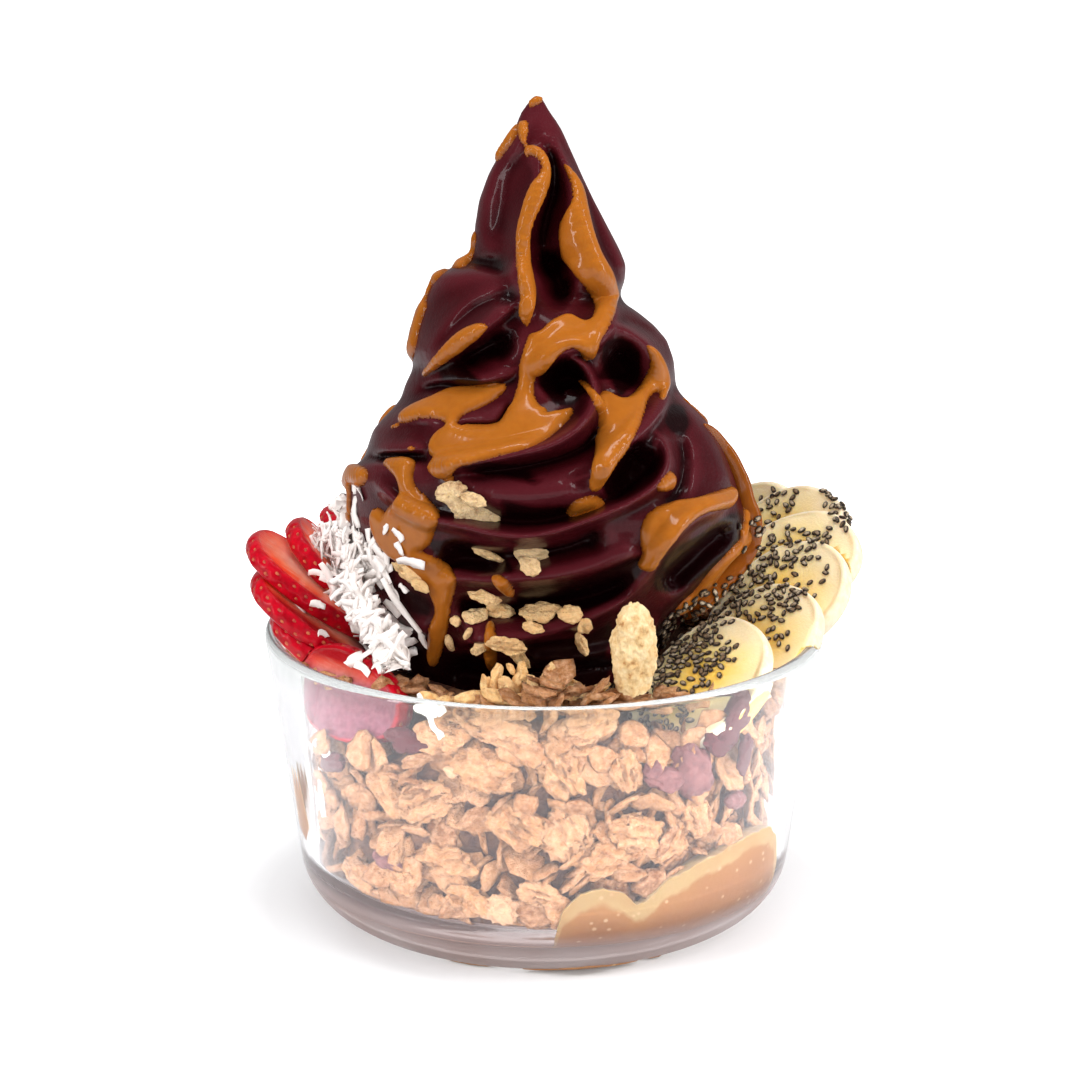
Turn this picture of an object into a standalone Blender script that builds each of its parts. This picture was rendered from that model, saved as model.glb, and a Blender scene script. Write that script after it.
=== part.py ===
"""Acai cup: a clear glass bowl of granola with a tall piped acai swirl, sliced fruit and coconut.

Metres, +Z up. The origin is the middle of the bowl's foot, on the table.
The camera side of the photograph is -Y, its right-hand side is +X.
"""
import math
import random

import bmesh
import bpy
import numpy as np
from mathutils import Matrix, Vector, noise

for old in list(bpy.data.objects):
    bpy.data.objects.remove(old)

MM = 0.001
GAP = 0.35                  # clearance between pieces that touch, mm
SEED = 11

# Glass bowl, mm
BOWL_HEIGHT = 65.2
RIM_RADIUS = 63.0           # outside of the rim
WALL = 3.0
WALL_LEAN = 7.6             # degrees the wall leans out from upright
OUTER_CORNER = 14.0         # radius where the wall turns into the foot
INNER_CORNER = 10.0
FLOOR = 8.0                 # thickness of the glass under the contents
BOWL_STEPS = 54

# Acai swirl, mm and turns: a fluted rope wound upwards in a shrinking ring
FLUTES = 8
FLUTE_DEPTH = 0.42          # valley depth as a part of the rope's radius
FLUTE_ROUND = 0.36          # how blunt each ridge is
FLUTE_HOOK = -0.45          # radians the valley floor is turned behind its ridge, so lips hang over
ROPE_START = -0.75
ROPE_END = 3.0
ROPE_RINGS = 260
ROPE_AROUND = 112
SWIRL_VOXEL = 0.9
SWIRL_TRIANGLES = 2100
# each row is (turns along the rope, value)
ROPE_TURN = [(-0.75, -0.75), (1.5, 1.5), (1.75, 1.75), (2.0, 1.93), (2.25, 2.03), (2.5, 2.08), (3.0, 2.08)]
ROPE_RING = [(-0.75, 26), (-0.25, 29), (0.25, 31), (0.75, 24), (1.25, 17), (1.75, 10.5), (2.0, 7),
             (2.25, 3), (2.5, 0.5), (3.0, 0)]
ROPE_HEIGHT = [(-0.75, 58), (-0.25, 71), (0.25, 88), (0.75, 100), (1.25, 119), (1.75, 131), (2.0, 138),
               (2.25, 148), (2.5, 160), (2.75, 172), (3.0, 182)]
ROPE_RADIUS = [(-0.75, 14), (-0.25, 16), (0.25, 17), (1.75, 17), (2.0, 17.5), (2.25, 17), (2.5, 12.5),
               (2.75, 7.5), (3.0, 0.9)]
ROPE_SAG = [(-0.75, 3), (0.0, 6), (1.0, 6), (1.75, 4), (2.1, 1), (2.4, 0), (3.0, 0)]
ROPE_ROLL = [(-0.75, 370), (0.0, 270), (0.75, 162), (1.0, 135), (1.75, 33), (2.0, 2), (2.25, -22),
             (2.5, -34), (3.0, -34)]
ROPE_SHIFT = [(-0.75, 0), (0.25, -1), (0.75, -2), (1.25, -4), (1.75, -4.5), (2.0, -4), (2.25, -2),
              (2.5, -0.5), (3.0, -0.5)]
CORE = [(34.0, 36.0), (36.0, 84.0), (20.0, 112.0), (8.0, 140.0)]    # (radius, height) inside the rope
SEAT = [(24.0, 37.0), (33.0, 44.0), (41.0, 55.0), (46.5, 64.0), (49.0, 78.0), (90.0, 92.0)]

# Granola bed, mm
BED_RINGS = 4              # rings of points across the heap's top, from the glass to the seat
BED_STEPS = 40
BED_TOP = 60.0
BED_ROUGH = 2.2
FRONT_HEAP = (2.0, -53.0, 15.0, 8.0, 8.5)       # x, y, half-length, half-width, height over the bed
BACK_DIP = (0.0, 54.0, 30.0, 12.0, -6.5)

# Sauce lying against the glass at the front right, mm and degrees
SAUCE_FROM = -84.0
SAUCE_TO = -22.0
SAUCE_TOP = 31.0
SAUCE_THICK = 4.5

# Strawberry slices: tip (mm), downward pitch and swing (degrees), roll, length, width, thickness
BERRIES = [
    ((-50.0, 14.0, 86.8), 56, 6, 0, 32, 25, 4.2),
    ((-57.5, 9.5, 84.8), 50, 3, 0, 33, 26, 4.4),
    ((-66.0, 2.0, 83.4), 38, 0, 0, 36, 27, 4.4),
    ((-64.5, -4.0, 76.4), 38, 0, 0, 36, 27, 4.4),
    ((-60.2, -5.5, 69.0), 38, -2, 0, 33, 25, 4.3),
    ((-52.5, -17.0, 58.0), 6, -46, 72, 33, 19, 5.0),
]

# Banana slices: centre (mm), long direction, face direction
BANANA_LONG = 37.0
BANANA_WIDE = 28.0
BANANA_THICK = 4.6
BANANAS = [
    ((47.0, 39.5, 70.5), (0.62, -0.10, 0.78), (-0.60, -0.60, 0.50)),
    ((54.5, 26.5, 74.0), (0.76, 0.00, 0.65), (-0.60, -0.58, 0.55)),
    ((55.5, 12.5, 72.5), (0.78, 0.10, 0.52), (-0.58, -0.55, 0.60)),
    ((53.0, 2.5, 67.5), (0.74, 0.20, 0.60), (-0.55, -0.52, 0.65)),
    ((46.0, -12.5, 61.5), (0.68, 0.38, 0.60), (-0.50, -0.50, 0.70)),
    ((34.0, -29.0, 58.8), (0.55, 0.58, 0.56), (-0.42, -0.45, 0.79)),
]

# Shredded coconut: the line the heap follows, (x, y, z, radius) in mm
COCONUT_LINE = [(-45.5, -4, 92, 4.5), (-44.5, -12, 86.5, 5.5), (-43, -20, 80.5, 6.5), (-39.5, -29, 74, 7.0),
                (-35, -37, 69, 7.0), (-29.5, -42.5, 64.5, 6.0)]

# Oat cluster that leans on the swirl at the front right, mm
CLUSTER_AT = (20.0, -50.5, 73.0)
CLUSTER_HALF = (5.2, 3.2, 10.0)


# ---------------------------------------------------------------- helpers
def collection(name):
    """A new collection in the scene."""
    made = bpy.data.collections.new(name)
    bpy.context.scene.collection.children.link(made)
    return made


PARTS = collection("acai_cup")
CUTTERS = collection("cutters")


def material(name, colour, rough, alpha=1.0):
    """A Principled material in one plain colour."""
    made = bpy.data.materials.new(name)
    made.use_nodes = True
    shader = made.node_tree.nodes["Principled BSDF"]
    shader.inputs["Base Color"].default_value = (*colour, 1.0)
    shader.inputs["Roughness"].default_value = rough
    shader.inputs["Alpha"].default_value = alpha
    made.diffuse_color = (*colour, alpha)
    return made


def add(name, mesh, group=PARTS, slot=None):
    """An object for a mesh, linked into a collection."""
    piece = bpy.data.objects.new(name, mesh)
    group.objects.link(piece)
    if slot is not None:
        mesh.materials.append(slot)
    if group is CUTTERS:
        piece.hide_render = True
        piece.display_type = "WIRE"
    return piece


def from_bmesh(name, bm, group=PARTS, slot=None):
    """An object made from a bmesh, faces turned outwards."""
    bmesh.ops.recalc_face_normals(bm, faces=bm.faces)
    mesh = bpy.data.meshes.new(name)
    bm.to_mesh(mesh)
    bm.free()
    return add(name, mesh, group, slot)


def bake(piece):
    """Replace a piece's mesh with what its modifiers make of it."""
    graph = bpy.context.evaluated_depsgraph_get()
    mesh = bpy.data.meshes.new_from_object(piece.evaluated_get(graph))
    piece.modifiers.clear()
    piece.data = mesh
    return piece


def boolean(piece, other, operation):
    """One boolean, applied: exact, or the manifold one where the exact one leaves too little."""
    before = piece.data.copy()
    for solver, crossing in (("EXACT", True), ("EXACT", False), ("MANIFOLD", False)):
        step = piece.modifiers.new("boolean", "BOOLEAN")
        step.solver = solver
        if solver == "EXACT":
            step.use_self = crossing
        step.operation = operation
        step.object = other
        bake(piece)
        if len(piece.data.polygons) > 0.4 * len(before.polygons):
            return
        piece.data = before.copy()


def grown(piece, by):
    """A cutter: the same shape with its surface moved outwards by a distance in mm."""
    cutter = piece.copy()
    cutter.data = piece.data.copy()
    cutter.name = piece.name + "_clearance"
    CUTTERS.objects.link(cutter)
    cutter.hide_render = True
    cutter.display_type = "WIRE"
    step = cutter.modifiers.new("grow", "DISPLACE")
    step.mid_level = 0.0
    step.strength = by * MM
    return bake(cutter)


def drop_flaps(bm):
    """Remove pairs of triangles that lie back to back on the same three corners."""
    found = True
    while found:
        corners = {}
        for face in bm.faces:
            corners.setdefault(frozenset(v.index for v in face.verts), []).append(face)
        twins = [f for group in corners.values() if len(group) > 1 for f in group]
        found = bool(twins)
        if found:
            bmesh.ops.delete(bm, geom=twins, context="FACES")
        bm.verts.index_update()


def largest_part(piece):
    """Drop the crumbs that a boolean leaves, keeping the largest connected body."""
    bm = bmesh.new()
    bm.from_mesh(piece.data)
    bm.faces.ensure_lookup_table()
    seen = set()
    bodies = []
    for face in bm.faces:
        if face.index in seen:
            continue
        body = []
        stack = [face]
        seen.add(face.index)
        while stack:
            here = stack.pop()
            body.append(here)
            for edge in here.edges:
                for near in edge.link_faces:
                    if near.index not in seen:
                        seen.add(near.index)
                        stack.append(near)
        bodies.append(body)
    bodies.sort(key=lambda b: -sum(f.calc_area() for f in b))
    for body in bodies[1:]:
        bmesh.ops.delete(bm, geom=body, context="FACES")
    bmesh.ops.dissolve_degenerate(bm, dist=0.00001, edges=bm.edges)
    bmesh.ops.triangulate(bm, faces=bm.faces)
    drop_flaps(bm)
    bmesh.ops.dissolve_limit(bm, angle_limit=math.radians(1.5), verts=bm.verts, edges=bm.edges)
    bmesh.ops.triangulate(bm, faces=bm.faces)
    drop_flaps(bm)
    bm.to_mesh(piece.data)
    bm.free()


def thin_out(piece, triangles):
    """Collapse a mesh to about a number of triangles."""
    bm = bmesh.new()
    bm.from_mesh(piece.data)
    bmesh.ops.triangulate(bm, faces=bm.faces)
    bm.to_mesh(piece.data)
    bm.free()
    step = piece.modifiers.new("decimate", "DECIMATE")
    step.ratio = min(1.0, triangles / len(piece.data.polygons))
    bake(piece)


def soften(piece, angle=40):
    """Smooth shading with creases kept."""
    piece.data.shade_smooth()
    piece.data.set_sharp_from_angle(angle=math.radians(angle))


def along(keys, at):
    """Values of a key list at given places, joined by smooth cubic pieces."""
    keys = np.array(keys, float)
    x = keys[:, 0]
    y = keys[:, 1]
    slope = np.gradient(y, x)
    slope[1:-1] = (y[2:] - y[:-2]) / (x[2:] - x[:-2])
    i = np.clip(np.searchsorted(x, at, side="right") - 1, 0, len(x) - 2)
    h = x[i + 1] - x[i]
    t = (at - x[i]) / h
    start = (2 * t**3 - 3 * t**2 + 1) * y[i] + (t**3 - 2 * t**2 + t) * h * slope[i]
    end = (3 * t**2 - 2 * t**3) * y[i + 1] + (t**3 - t**2) * h * slope[i + 1]
    return start + end


def turned(name, profile, steps, group=PARTS, slot=None):
    """A body turned about Z from a profile of (radius, height) in mm."""
    mesh = bpy.data.meshes.new(name)
    points = [(r * MM, 0.0, z * MM) for r, z in profile]
    mesh.from_pydata(points, [(i, i + 1) for i in range(len(points) - 1)], [])
    piece = add(name, mesh, group, slot)
    screw = piece.modifiers.new("screw", "SCREW")
    screw.axis = "Z"
    screw.angle = math.radians(360)
    screw.steps = steps
    screw.render_steps = steps
    screw.use_merge_vertices = True
    screw.merge_threshold = 0.00001
    bake(piece)
    bm = bmesh.new()
    bm.from_mesh(piece.data)
    bmesh.ops.remove_doubles(bm, verts=bm.verts, dist=0.000001)
    bmesh.ops.recalc_face_normals(bm, faces=bm.faces)
    bm.to_mesh(piece.data)
    bm.free()
    return piece


def arc(centre, radius, start, end, count):
    """Points of an arc in a profile, angles in degrees."""
    points = []
    for k in range(count + 1):
        a = math.radians(start + (end - start) * k / count)
        points.append((centre[0] + radius * math.cos(a), centre[1] + radius * math.sin(a)))
    return points


# ---------------------------------------------------------------- materials
GLASS = material("clear_glass", (0.92, 0.96, 0.96), 0.02, 0.30)
ACAI = material("acai", (0.075, 0.012, 0.020), 0.30)
GRANOLA = material("granola", (0.62, 0.38, 0.15), 0.75)
SAUCE = material("peanut_sauce", (0.48, 0.19, 0.035), 0.22)
BERRY = material("strawberry", (0.62, 0.012, 0.020), 0.35)
BANANA = material("banana", (0.88, 0.74, 0.42), 0.45)
COCONUT = material("coconut", (0.90, 0.88, 0.84), 0.70)
OAT = material("oat_cluster", (0.78, 0.60, 0.34), 0.80)

# ---------------------------------------------------------------- glass bowl
LEAN = math.tan(math.radians(WALL_LEAN))


def wall_radius(height, inside=True):
    """Radius of the straight part of the wall at a height, mm."""
    return RIM_RADIUS - (BOWL_HEIGHT - height) * LEAN - (WALL if inside else 0.0)


def bowl_profile():
    """Foot middle, up the outside, over the rim, down the inside to the floor's middle."""
    lip = WALL / 2
    outer_mid = (wall_radius(OUTER_CORNER, False) - OUTER_CORNER, OUTER_CORNER)
    inner_mid = (wall_radius(FLOOR + INNER_CORNER) - INNER_CORNER, FLOOR + INNER_CORNER)
    points = [(0.0, 0.0)]
    points += arc(outer_mid, OUTER_CORNER, -90, -WALL_LEAN, 4)
    points += arc((RIM_RADIUS - lip, BOWL_HEIGHT - lip), lip, -WALL_LEAN, 180 - WALL_LEAN, 5)
    points += arc(inner_mid, INNER_CORNER, -WALL_LEAN, -90, 4)
    points.append((0.0, FLOOR))
    return points


bowl = turned("glass_bowl", bowl_profile(), BOWL_STEPS, slot=GLASS)
soften(bowl, 35)


# ---------------------------------------------------------------- acai swirl
def rope_mesh(name):
    """The fluted rope, lofted ring by ring along its rising coil."""
    u = np.linspace(ROPE_START, ROPE_END, ROPE_RINGS)
    phi = np.radians(-90 + 360 * along(ROPE_TURN, u))
    ring = np.maximum(along(ROPE_RING, u), 0)
    size = np.maximum(along(ROPE_RADIUS, u), 0.4)
    roll = np.radians(along(ROPE_ROLL, u))
    height = along(ROPE_HEIGHT, u) + along(ROPE_SAG, u) * np.sin(phi)
    centre = np.stack([along(ROPE_SHIFT, u) + ring * np.cos(phi), ring * np.sin(phi), height], -1)
    ahead = np.gradient(centre, axis=0)
    ahead /= np.linalg.norm(ahead, axis=1)[:, None]
    out = np.stack([np.cos(phi), np.sin(phi), 0 * phi], -1)
    out -= (out * ahead).sum(1)[:, None] * ahead
    out /= np.linalg.norm(out, axis=1)[:, None]
    down = np.cross(ahead, out)
    a = np.linspace(0, 2 * math.pi, ROPE_AROUND, endpoint=False)
    e = FLUTE_ROUND
    valley = (np.sqrt(np.sin(FLUTES * a / 2)**2 + e * e) - e) / (math.sqrt(1 + e * e) - e)
    part = 1 - FLUTE_DEPTH * valley
    turn = a + FLUTE_HOOK * (part**2 - 1)
    angle = turn[None, :] + roll[:, None]
    rho = size[:, None] * part[None, :]
    across = (rho * np.cos(angle))[..., None] * out[:, None, :]
    along_down = (rho * np.sin(angle))[..., None] * down[:, None, :]
    points = (centre[:, None, :] + across + along_down).reshape(-1, 3) * MM
    faces = []
    for i in range(ROPE_RINGS - 1):
        for j in range(ROPE_AROUND):
            k = (j + 1) % ROPE_AROUND
            low = i * ROPE_AROUND
            high = low + ROPE_AROUND
            faces.append((low + j, low + k, high + k, high + j))
    faces.append(tuple(reversed(range(ROPE_AROUND))))
    last = (ROPE_RINGS - 1) * ROPE_AROUND
    faces.append(tuple(range(last, last + ROPE_AROUND)))
    mesh = bpy.data.meshes.new(name)
    mesh.from_pydata(points.tolist(), [], faces)
    return mesh


swirl = add("acai_swirl", rope_mesh("acai_swirl"), slot=ACAI)
core = turned("swirl_core", [(0.0, CORE[0][1])] + CORE + [(0.0, CORE[-1][1])], 40, CUTTERS)
bm = bmesh.new()
bm.from_mesh(swirl.data)
bm.from_mesh(core.data)
bmesh.ops.recalc_face_normals(bm, faces=bm.faces)
bm.to_mesh(swirl.data)
bm.free()
fuse = swirl.modifiers.new("fuse", "REMESH")
fuse.mode = "VOXEL"
fuse.voxel_size = SWIRL_VOXEL * MM
relax = swirl.modifiers.new("relax", "SMOOTH")
relax.factor = 0.5
relax.iterations = 5
bake(swirl)
thin_out(swirl, SWIRL_TRIANGLES)

# the swirl's foot keeps to a turned seat that the granola leaves open
seat = turned("swirl_seat", [(0.0, SEAT[0][1])] + SEAT + [(90.0, 200.0), (0.0, 200.0)], 36, CUTTERS)
boolean(swirl, seat, "INTERSECT")
largest_part(swirl)


# ---------------------------------------------------------------- fruit
def berry_half_width(s):
    """Half-width of a strawberry slice at a place from tip (0) to stalk end (1)."""
    return math.sin(math.pi * min(1.0, 0.05 + 0.90 * s)**0.80)**0.62


def strawberry(name, tip, pitch, swing, roll, length, width, thick):
    """A lengthways slice: the berry's outline, extruded, with a rounded skin edge."""
    steps = 7
    side = [(i / steps, berry_half_width(i / steps)) for i in range(steps + 1)]
    outline = [(s * length, w * width / 2) for s, w in side]
    outline += [(s * length, -w * width / 2) for s, w in reversed(side)]
    bm = bmesh.new()
    ring = [bm.verts.new((x * MM, y * MM, -thick / 2 * MM)) for x, y in outline]
    face = bm.faces.new(ring)
    grown_up = bmesh.ops.extrude_face_region(bm, geom=[face])["geom"]
    top = [g for g in grown_up if isinstance(g, bmesh.types.BMVert)]
    bmesh.ops.translate(bm, verts=top, vec=(0, 0, thick * MM))
    rim = [e for e in bm.edges if abs(e.verts[0].co.z - e.verts[1].co.z) < 1e-7]
    bmesh.ops.bevel(bm, geom=rim, offset=thick * 0.22 * MM, segments=1, affect="EDGES", profile=0.6)
    bmesh.ops.triangulate(bm, faces=bm.faces)
    piece = from_bmesh(name, bm, slot=BERRY)
    place = Matrix.Translation(Vector(tip) * MM)
    place = place @ Matrix.Rotation(math.radians(swing), 4, "Z") @ Matrix.Rotation(math.radians(pitch), 4, "Y")
    piece.matrix_world = place @ Matrix.Rotation(math.radians(roll), 4, "X")
    soften(piece, 45)
    return piece


def banana(name, centre, long_way, face_way):
    """A bias-cut slice: an oval disc with rounded edges."""
    bm = bmesh.new()
    bmesh.ops.create_cone(bm, cap_ends=True, segments=20, radius1=0.5, radius2=0.5, depth=1.0)
    bmesh.ops.scale(bm, vec=(BANANA_LONG * MM, BANANA_WIDE * MM, BANANA_THICK * MM), verts=bm.verts)
    rim = [e for e in bm.edges if abs(e.verts[0].co.z - e.verts[1].co.z) < 1e-7]
    bmesh.ops.bevel(bm, geom=rim, offset=0.9 * MM, segments=1, affect="EDGES", profile=0.5)
    bmesh.ops.triangulate(bm, faces=bm.faces)
    piece = from_bmesh(name, bm, slot=BANANA)
    x = Vector(long_way).normalized()
    z = Vector(face_way)
    z = (z - x * z.dot(x)).normalized()
    y = z.cross(x)
    turn = Matrix((x, y, z)).transposed().to_4x4()
    piece.matrix_world = Matrix.Translation(Vector(centre) * MM) @ turn
    soften(piece, 45)
    return piece


fruit = []
for k, row in enumerate(BERRIES):
    fruit.append(strawberry("strawberry_slice_%d" % (k + 1), *row))
for k, row in enumerate(BANANAS):
    fruit.append(banana("banana_slice_%d" % (k + 1), *row))

# soft pieces give way: a slice behind is trimmed by the one in front of it, and the swirl by them all
rooms = [grown(piece, GAP) for piece in fruit]
for k in (0, 1, 2, 3, 4, 6, 7, 8, 9, 10):
    boolean(fruit[k], rooms[k + 1], "DIFFERENCE")
    largest_part(fruit[k])
bowl_room = grown(bowl, GAP)
for piece in fruit[6:]:
    boolean(piece, bowl_room, "DIFFERENCE")
    largest_part(piece)
for room in rooms:
    boolean(swirl, room, "DIFFERENCE")
largest_part(swirl)
soften(swirl, 60)


# ---------------------------------------------------------------- oat cluster
def lumpy(bm, size, amount, shift):
    """Push a round body's surface in and out by smooth noise."""
    for vert in bm.verts:
        way = vert.co.normalized()
        bump = noise.noise(way * 2.3 + Vector((shift, 0, 0))) + 0.5 * noise.noise(way * 5.1)
        vert.co = Vector((way.x * size[0], way.y * size[1], way.z * size[2])) * (1 + amount * bump) * MM


bm = bmesh.new()
bmesh.ops.create_icosphere(bm, subdivisions=3, radius=1.0)
lumpy(bm, CLUSTER_HALF, 0.16, 4.0)
cluster = from_bmesh("oat_cluster", bm, slot=OAT)
cluster.location = Vector(CLUSTER_AT) * MM
cluster.rotation_euler = (math.radians(-8), math.radians(4), math.radians(22))
thin_out(cluster, 180)
soften(cluster, 60)


# ---------------------------------------------------------------- sauce in the bowl
def inner_profile(inset):
    """Inside of the glass from the floor up, moved inwards, as (radius, height)."""
    mid = (wall_radius(FLOOR + INNER_CORNER) - INNER_CORNER, FLOOR + INNER_CORNER)
    points = [(26.0, FLOOR + inset)]
    points += arc(mid, INNER_CORNER - inset, -90, -WALL_LEAN, 5)
    return points


def sauce_body():
    """A layer on the glass, turned through part of a circle, its top edge wavy."""
    near = inner_profile(GAP)
    near.append((wall_radius(SAUCE_TOP) - GAP, SAUCE_TOP))
    far = inner_profile(GAP + SAUCE_THICK)
    far.append((wall_radius(SAUCE_TOP) - GAP - SAUCE_THICK * 0.5, SAUCE_TOP))
    loop = near + list(reversed(far))
    bm = bmesh.new()
    start = Matrix.Rotation(math.radians(SAUCE_FROM), 3, "Z")
    ring = [bm.verts.new(start @ Vector((r * MM, 0, z * MM))) for r, z in loop]
    face = bm.faces.new(ring)
    bmesh.ops.spin(bm, geom=[face], axis=(0, 0, 1), cent=(0, 0, 0), steps=10,
                   angle=math.radians(SAUCE_TO - SAUCE_FROM), use_duplicate=False)
    bmesh.ops.remove_doubles(bm, verts=bm.verts, dist=0.000001)
    for vert in bm.verts:
        if vert.co.z > (SAUCE_TOP - 0.1) * MM:
            a = math.atan2(vert.co.y, vert.co.x)
            drop = 4.0 * (1 + math.sin(5.3 * a + 0.6)) + 2.5 * (1 + math.sin(11 * a))
            slide = LEAN * drop
            radius = math.hypot(vert.co.x, vert.co.y)
            vert.co.x *= 1 - slide * MM / radius
            vert.co.y *= 1 - slide * MM / radius
            vert.co.z -= drop * MM
    bmesh.ops.triangulate(bm, faces=bm.faces)
    return from_bmesh("sauce_pool", bm, slot=SAUCE)


pool = sauce_body()
soften(pool, 50)


# ---------------------------------------------------------------- granola bed
def bed_top(x, y):
    """Height of the granola's uneven top at a place, mm."""
    z = BED_TOP + BED_ROUGH * noise.noise(Vector((x * 0.11, y * 0.11, 3.0)))
    z += BED_ROUGH * 0.6 * noise.noise(Vector((x * 0.27, y * 0.27, 7.0)))
    for cx, cy, half_x, half_y, lift in (FRONT_HEAP, BACK_DIP):
        d = ((x - cx) / half_x)**2 + ((y - cy) / half_y)**2
        z += lift * math.exp(-d)
    return z


def seat_radius(height):
    """Radius of the seat the swirl's foot sits in, at a height, mm."""
    radii = [r for r, z in SEAT]
    heights = [z for r, z in SEAT]
    return float(np.interp(height, heights, radii))


def granola_body():
    """A turned fill of the glass with a seat in the middle, its top then set to the heap's height."""
    mid = (wall_radius(FLOOR + INNER_CORNER) - INNER_CORNER, FLOOR + INNER_CORNER)
    rim = BED_TOP - 5.0
    edge = wall_radius(rim) - GAP
    hole = seat_radius(BED_TOP) + GAP
    side = [(0.0, FLOOR + GAP)]
    side += arc(mid, INNER_CORNER - GAP, -90, -WALL_LEAN, 3)
    side += [(wall_radius(z) - GAP, z) for z in (30.0, 43.0)]
    side += [(edge + (hole - edge) * k / BED_RINGS, rim) for k in range(BED_RINGS + 1)]
    side += [(r + GAP, z - GAP) for r, z in reversed(SEAT[:3])]
    side.append((0.0, SEAT[0][1] - GAP))
    body = turned("granola_bed", side, BED_STEPS, slot=GRANOLA)
    for vert in body.data.vertices:
        x, y, z = vert.co / MM
        radius = math.hypot(x, y)
        if abs(z - rim) > 0.01 or radius < hole - 0.01:
            continue
        top = bed_top(x, y)
        if radius > edge - 0.01:
            top -= 3.0
            radius_new = min(wall_radius(top), wall_radius(BOWL_HEIGHT)) - GAP
        elif radius < hole + 0.01:
            radius_new = seat_radius(top) + GAP
        else:
            radius_new = radius
        vert.co = Vector((x * radius_new / radius, y * radius_new / radius, top)) * MM
    return body


bed = granola_body()
for room in rooms + [grown(cluster, GAP), grown(pool, GAP)]:
    boolean(bed, room, "DIFFERENCE")
largest_part(bed)
soften(bed, 50)

# ---------------------------------------------------------------- coconut
random.seed(SEED)
bm = bmesh.new()
for k in range(len(COCONUT_LINE) - 1):
    for part in range(3):
        t = part / 3
        here = [a + (b - a) * t for a, b in zip(COCONUT_LINE[k], COCONUT_LINE[k + 1])]
        spot = Vector(here[:3]) + Vector([random.uniform(-1.2, 1.2) for _ in range(3)])
        size = here[3] * random.uniform(0.85, 1.1) * MM
        place = Matrix.Translation(spot * MM)
        bmesh.ops.create_icosphere(bm, subdivisions=2, radius=size, matrix=place)
heap = from_bmesh("coconut_heap", bm, slot=COCONUT)
fuse = heap.modifiers.new("fuse", "REMESH")
fuse.mode = "VOXEL"
fuse.voxel_size = 1.2 * MM
bake(heap)
for vert in heap.data.vertices:
    bump = noise.noise(vert.co / MM * 0.35)
    vert.co += vert.normal * bump * 1.3 * MM
thin_out(heap, 300)
for room in [grown(swirl, GAP), grown(bed, GAP), bowl_room] + rooms[:6]:
    boolean(heap, room, "DIFFERENCE")
largest_part(heap)
soften(heap, 60)
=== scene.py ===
"""Looks of the acai cup: every CAD piece gets its fine shape and its material here.

Shapes are worked out in millimetres and written to the meshes in metres.
The photograph's side is -Y, its right-hand side is +X.
"""
import math

import bmesh
import bpy
import numpy as np
from mathutils import Matrix, Vector, noise
from mathutils.bvhtree import BVHTree
from mathutils.kdtree import KDTree


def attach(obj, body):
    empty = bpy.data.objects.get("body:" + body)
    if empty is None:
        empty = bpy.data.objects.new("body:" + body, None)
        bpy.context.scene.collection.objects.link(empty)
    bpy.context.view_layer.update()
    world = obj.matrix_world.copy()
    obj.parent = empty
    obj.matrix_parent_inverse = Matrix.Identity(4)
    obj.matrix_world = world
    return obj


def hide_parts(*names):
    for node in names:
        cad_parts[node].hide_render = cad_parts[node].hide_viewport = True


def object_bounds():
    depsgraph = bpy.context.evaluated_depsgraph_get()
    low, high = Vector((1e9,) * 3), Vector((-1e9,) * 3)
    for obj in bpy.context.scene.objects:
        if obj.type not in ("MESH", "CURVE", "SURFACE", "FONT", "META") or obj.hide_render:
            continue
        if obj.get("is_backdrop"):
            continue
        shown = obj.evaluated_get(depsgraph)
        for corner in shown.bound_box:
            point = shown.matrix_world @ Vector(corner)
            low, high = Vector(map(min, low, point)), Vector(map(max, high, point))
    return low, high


MM = 0.001
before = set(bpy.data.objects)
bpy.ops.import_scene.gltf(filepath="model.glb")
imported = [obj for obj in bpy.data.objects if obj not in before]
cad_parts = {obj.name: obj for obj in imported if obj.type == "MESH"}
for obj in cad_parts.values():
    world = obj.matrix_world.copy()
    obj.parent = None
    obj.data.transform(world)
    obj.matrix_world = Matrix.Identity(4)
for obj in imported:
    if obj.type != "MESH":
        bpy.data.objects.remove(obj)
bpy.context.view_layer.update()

# ---------------------------------------------------------------- camera
# fitted to the bowl's rim and foot in the photograph
PICTURE = 1080.0            # the photograph's width and height, pixels
HALF_PICTURE = PICTURE / 2
CENTRE_X = 544.3            # the pixel column of the object's axis
FOCAL = 2671.3              # pixels
PITCH = math.radians(15.05)
AIM_HEIGHT = 84.0           # mm, as all sizes below
DISTANCE = 600.0
SENSOR = 36.0
EYE = np.array([0.0, -DISTANCE * math.cos(PITCH), AIM_HEIGHT + DISTANCE * math.sin(PITCH)])
AHEAD = np.array([0.0, math.cos(PITCH), -math.sin(PITCH)])
UP = np.array([0.0, math.sin(PITCH), math.cos(PITCH)])

camera = bpy.data.cameras.new("camera")
camera.sensor_width = SENSOR
camera.sensor_fit = "HORIZONTAL"
camera.lens = FOCAL / PICTURE * SENSOR
camera.shift_x = (HALF_PICTURE - CENTRE_X) / PICTURE
camera.clip_start = 0.01
camera.clip_end = 20.0
view = bpy.data.objects.new("camera", camera)
view.location = Vector(EYE) * MM
view.rotation_euler = Vector(AHEAD).to_track_quat("-Z", "Y").to_euler()
bpy.context.scene.collection.objects.link(view)
bpy.context.scene.camera = view


def ways_through(px, py):
    """Vectors from the eye through pixels of the photograph, as far as its focal length."""
    sideways = np.stack([px - CENTRE_X, 0 * px, 0 * px], -1)
    return AHEAD * FOCAL + sideways + UP * (HALF_PICTURE - py)[..., None]


def pixel_ray(px, py):
    """Direction from the eye through one pixel of the photograph."""
    way = ways_through(*np.array([px, py], float))
    return way / np.linalg.norm(way)


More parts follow.
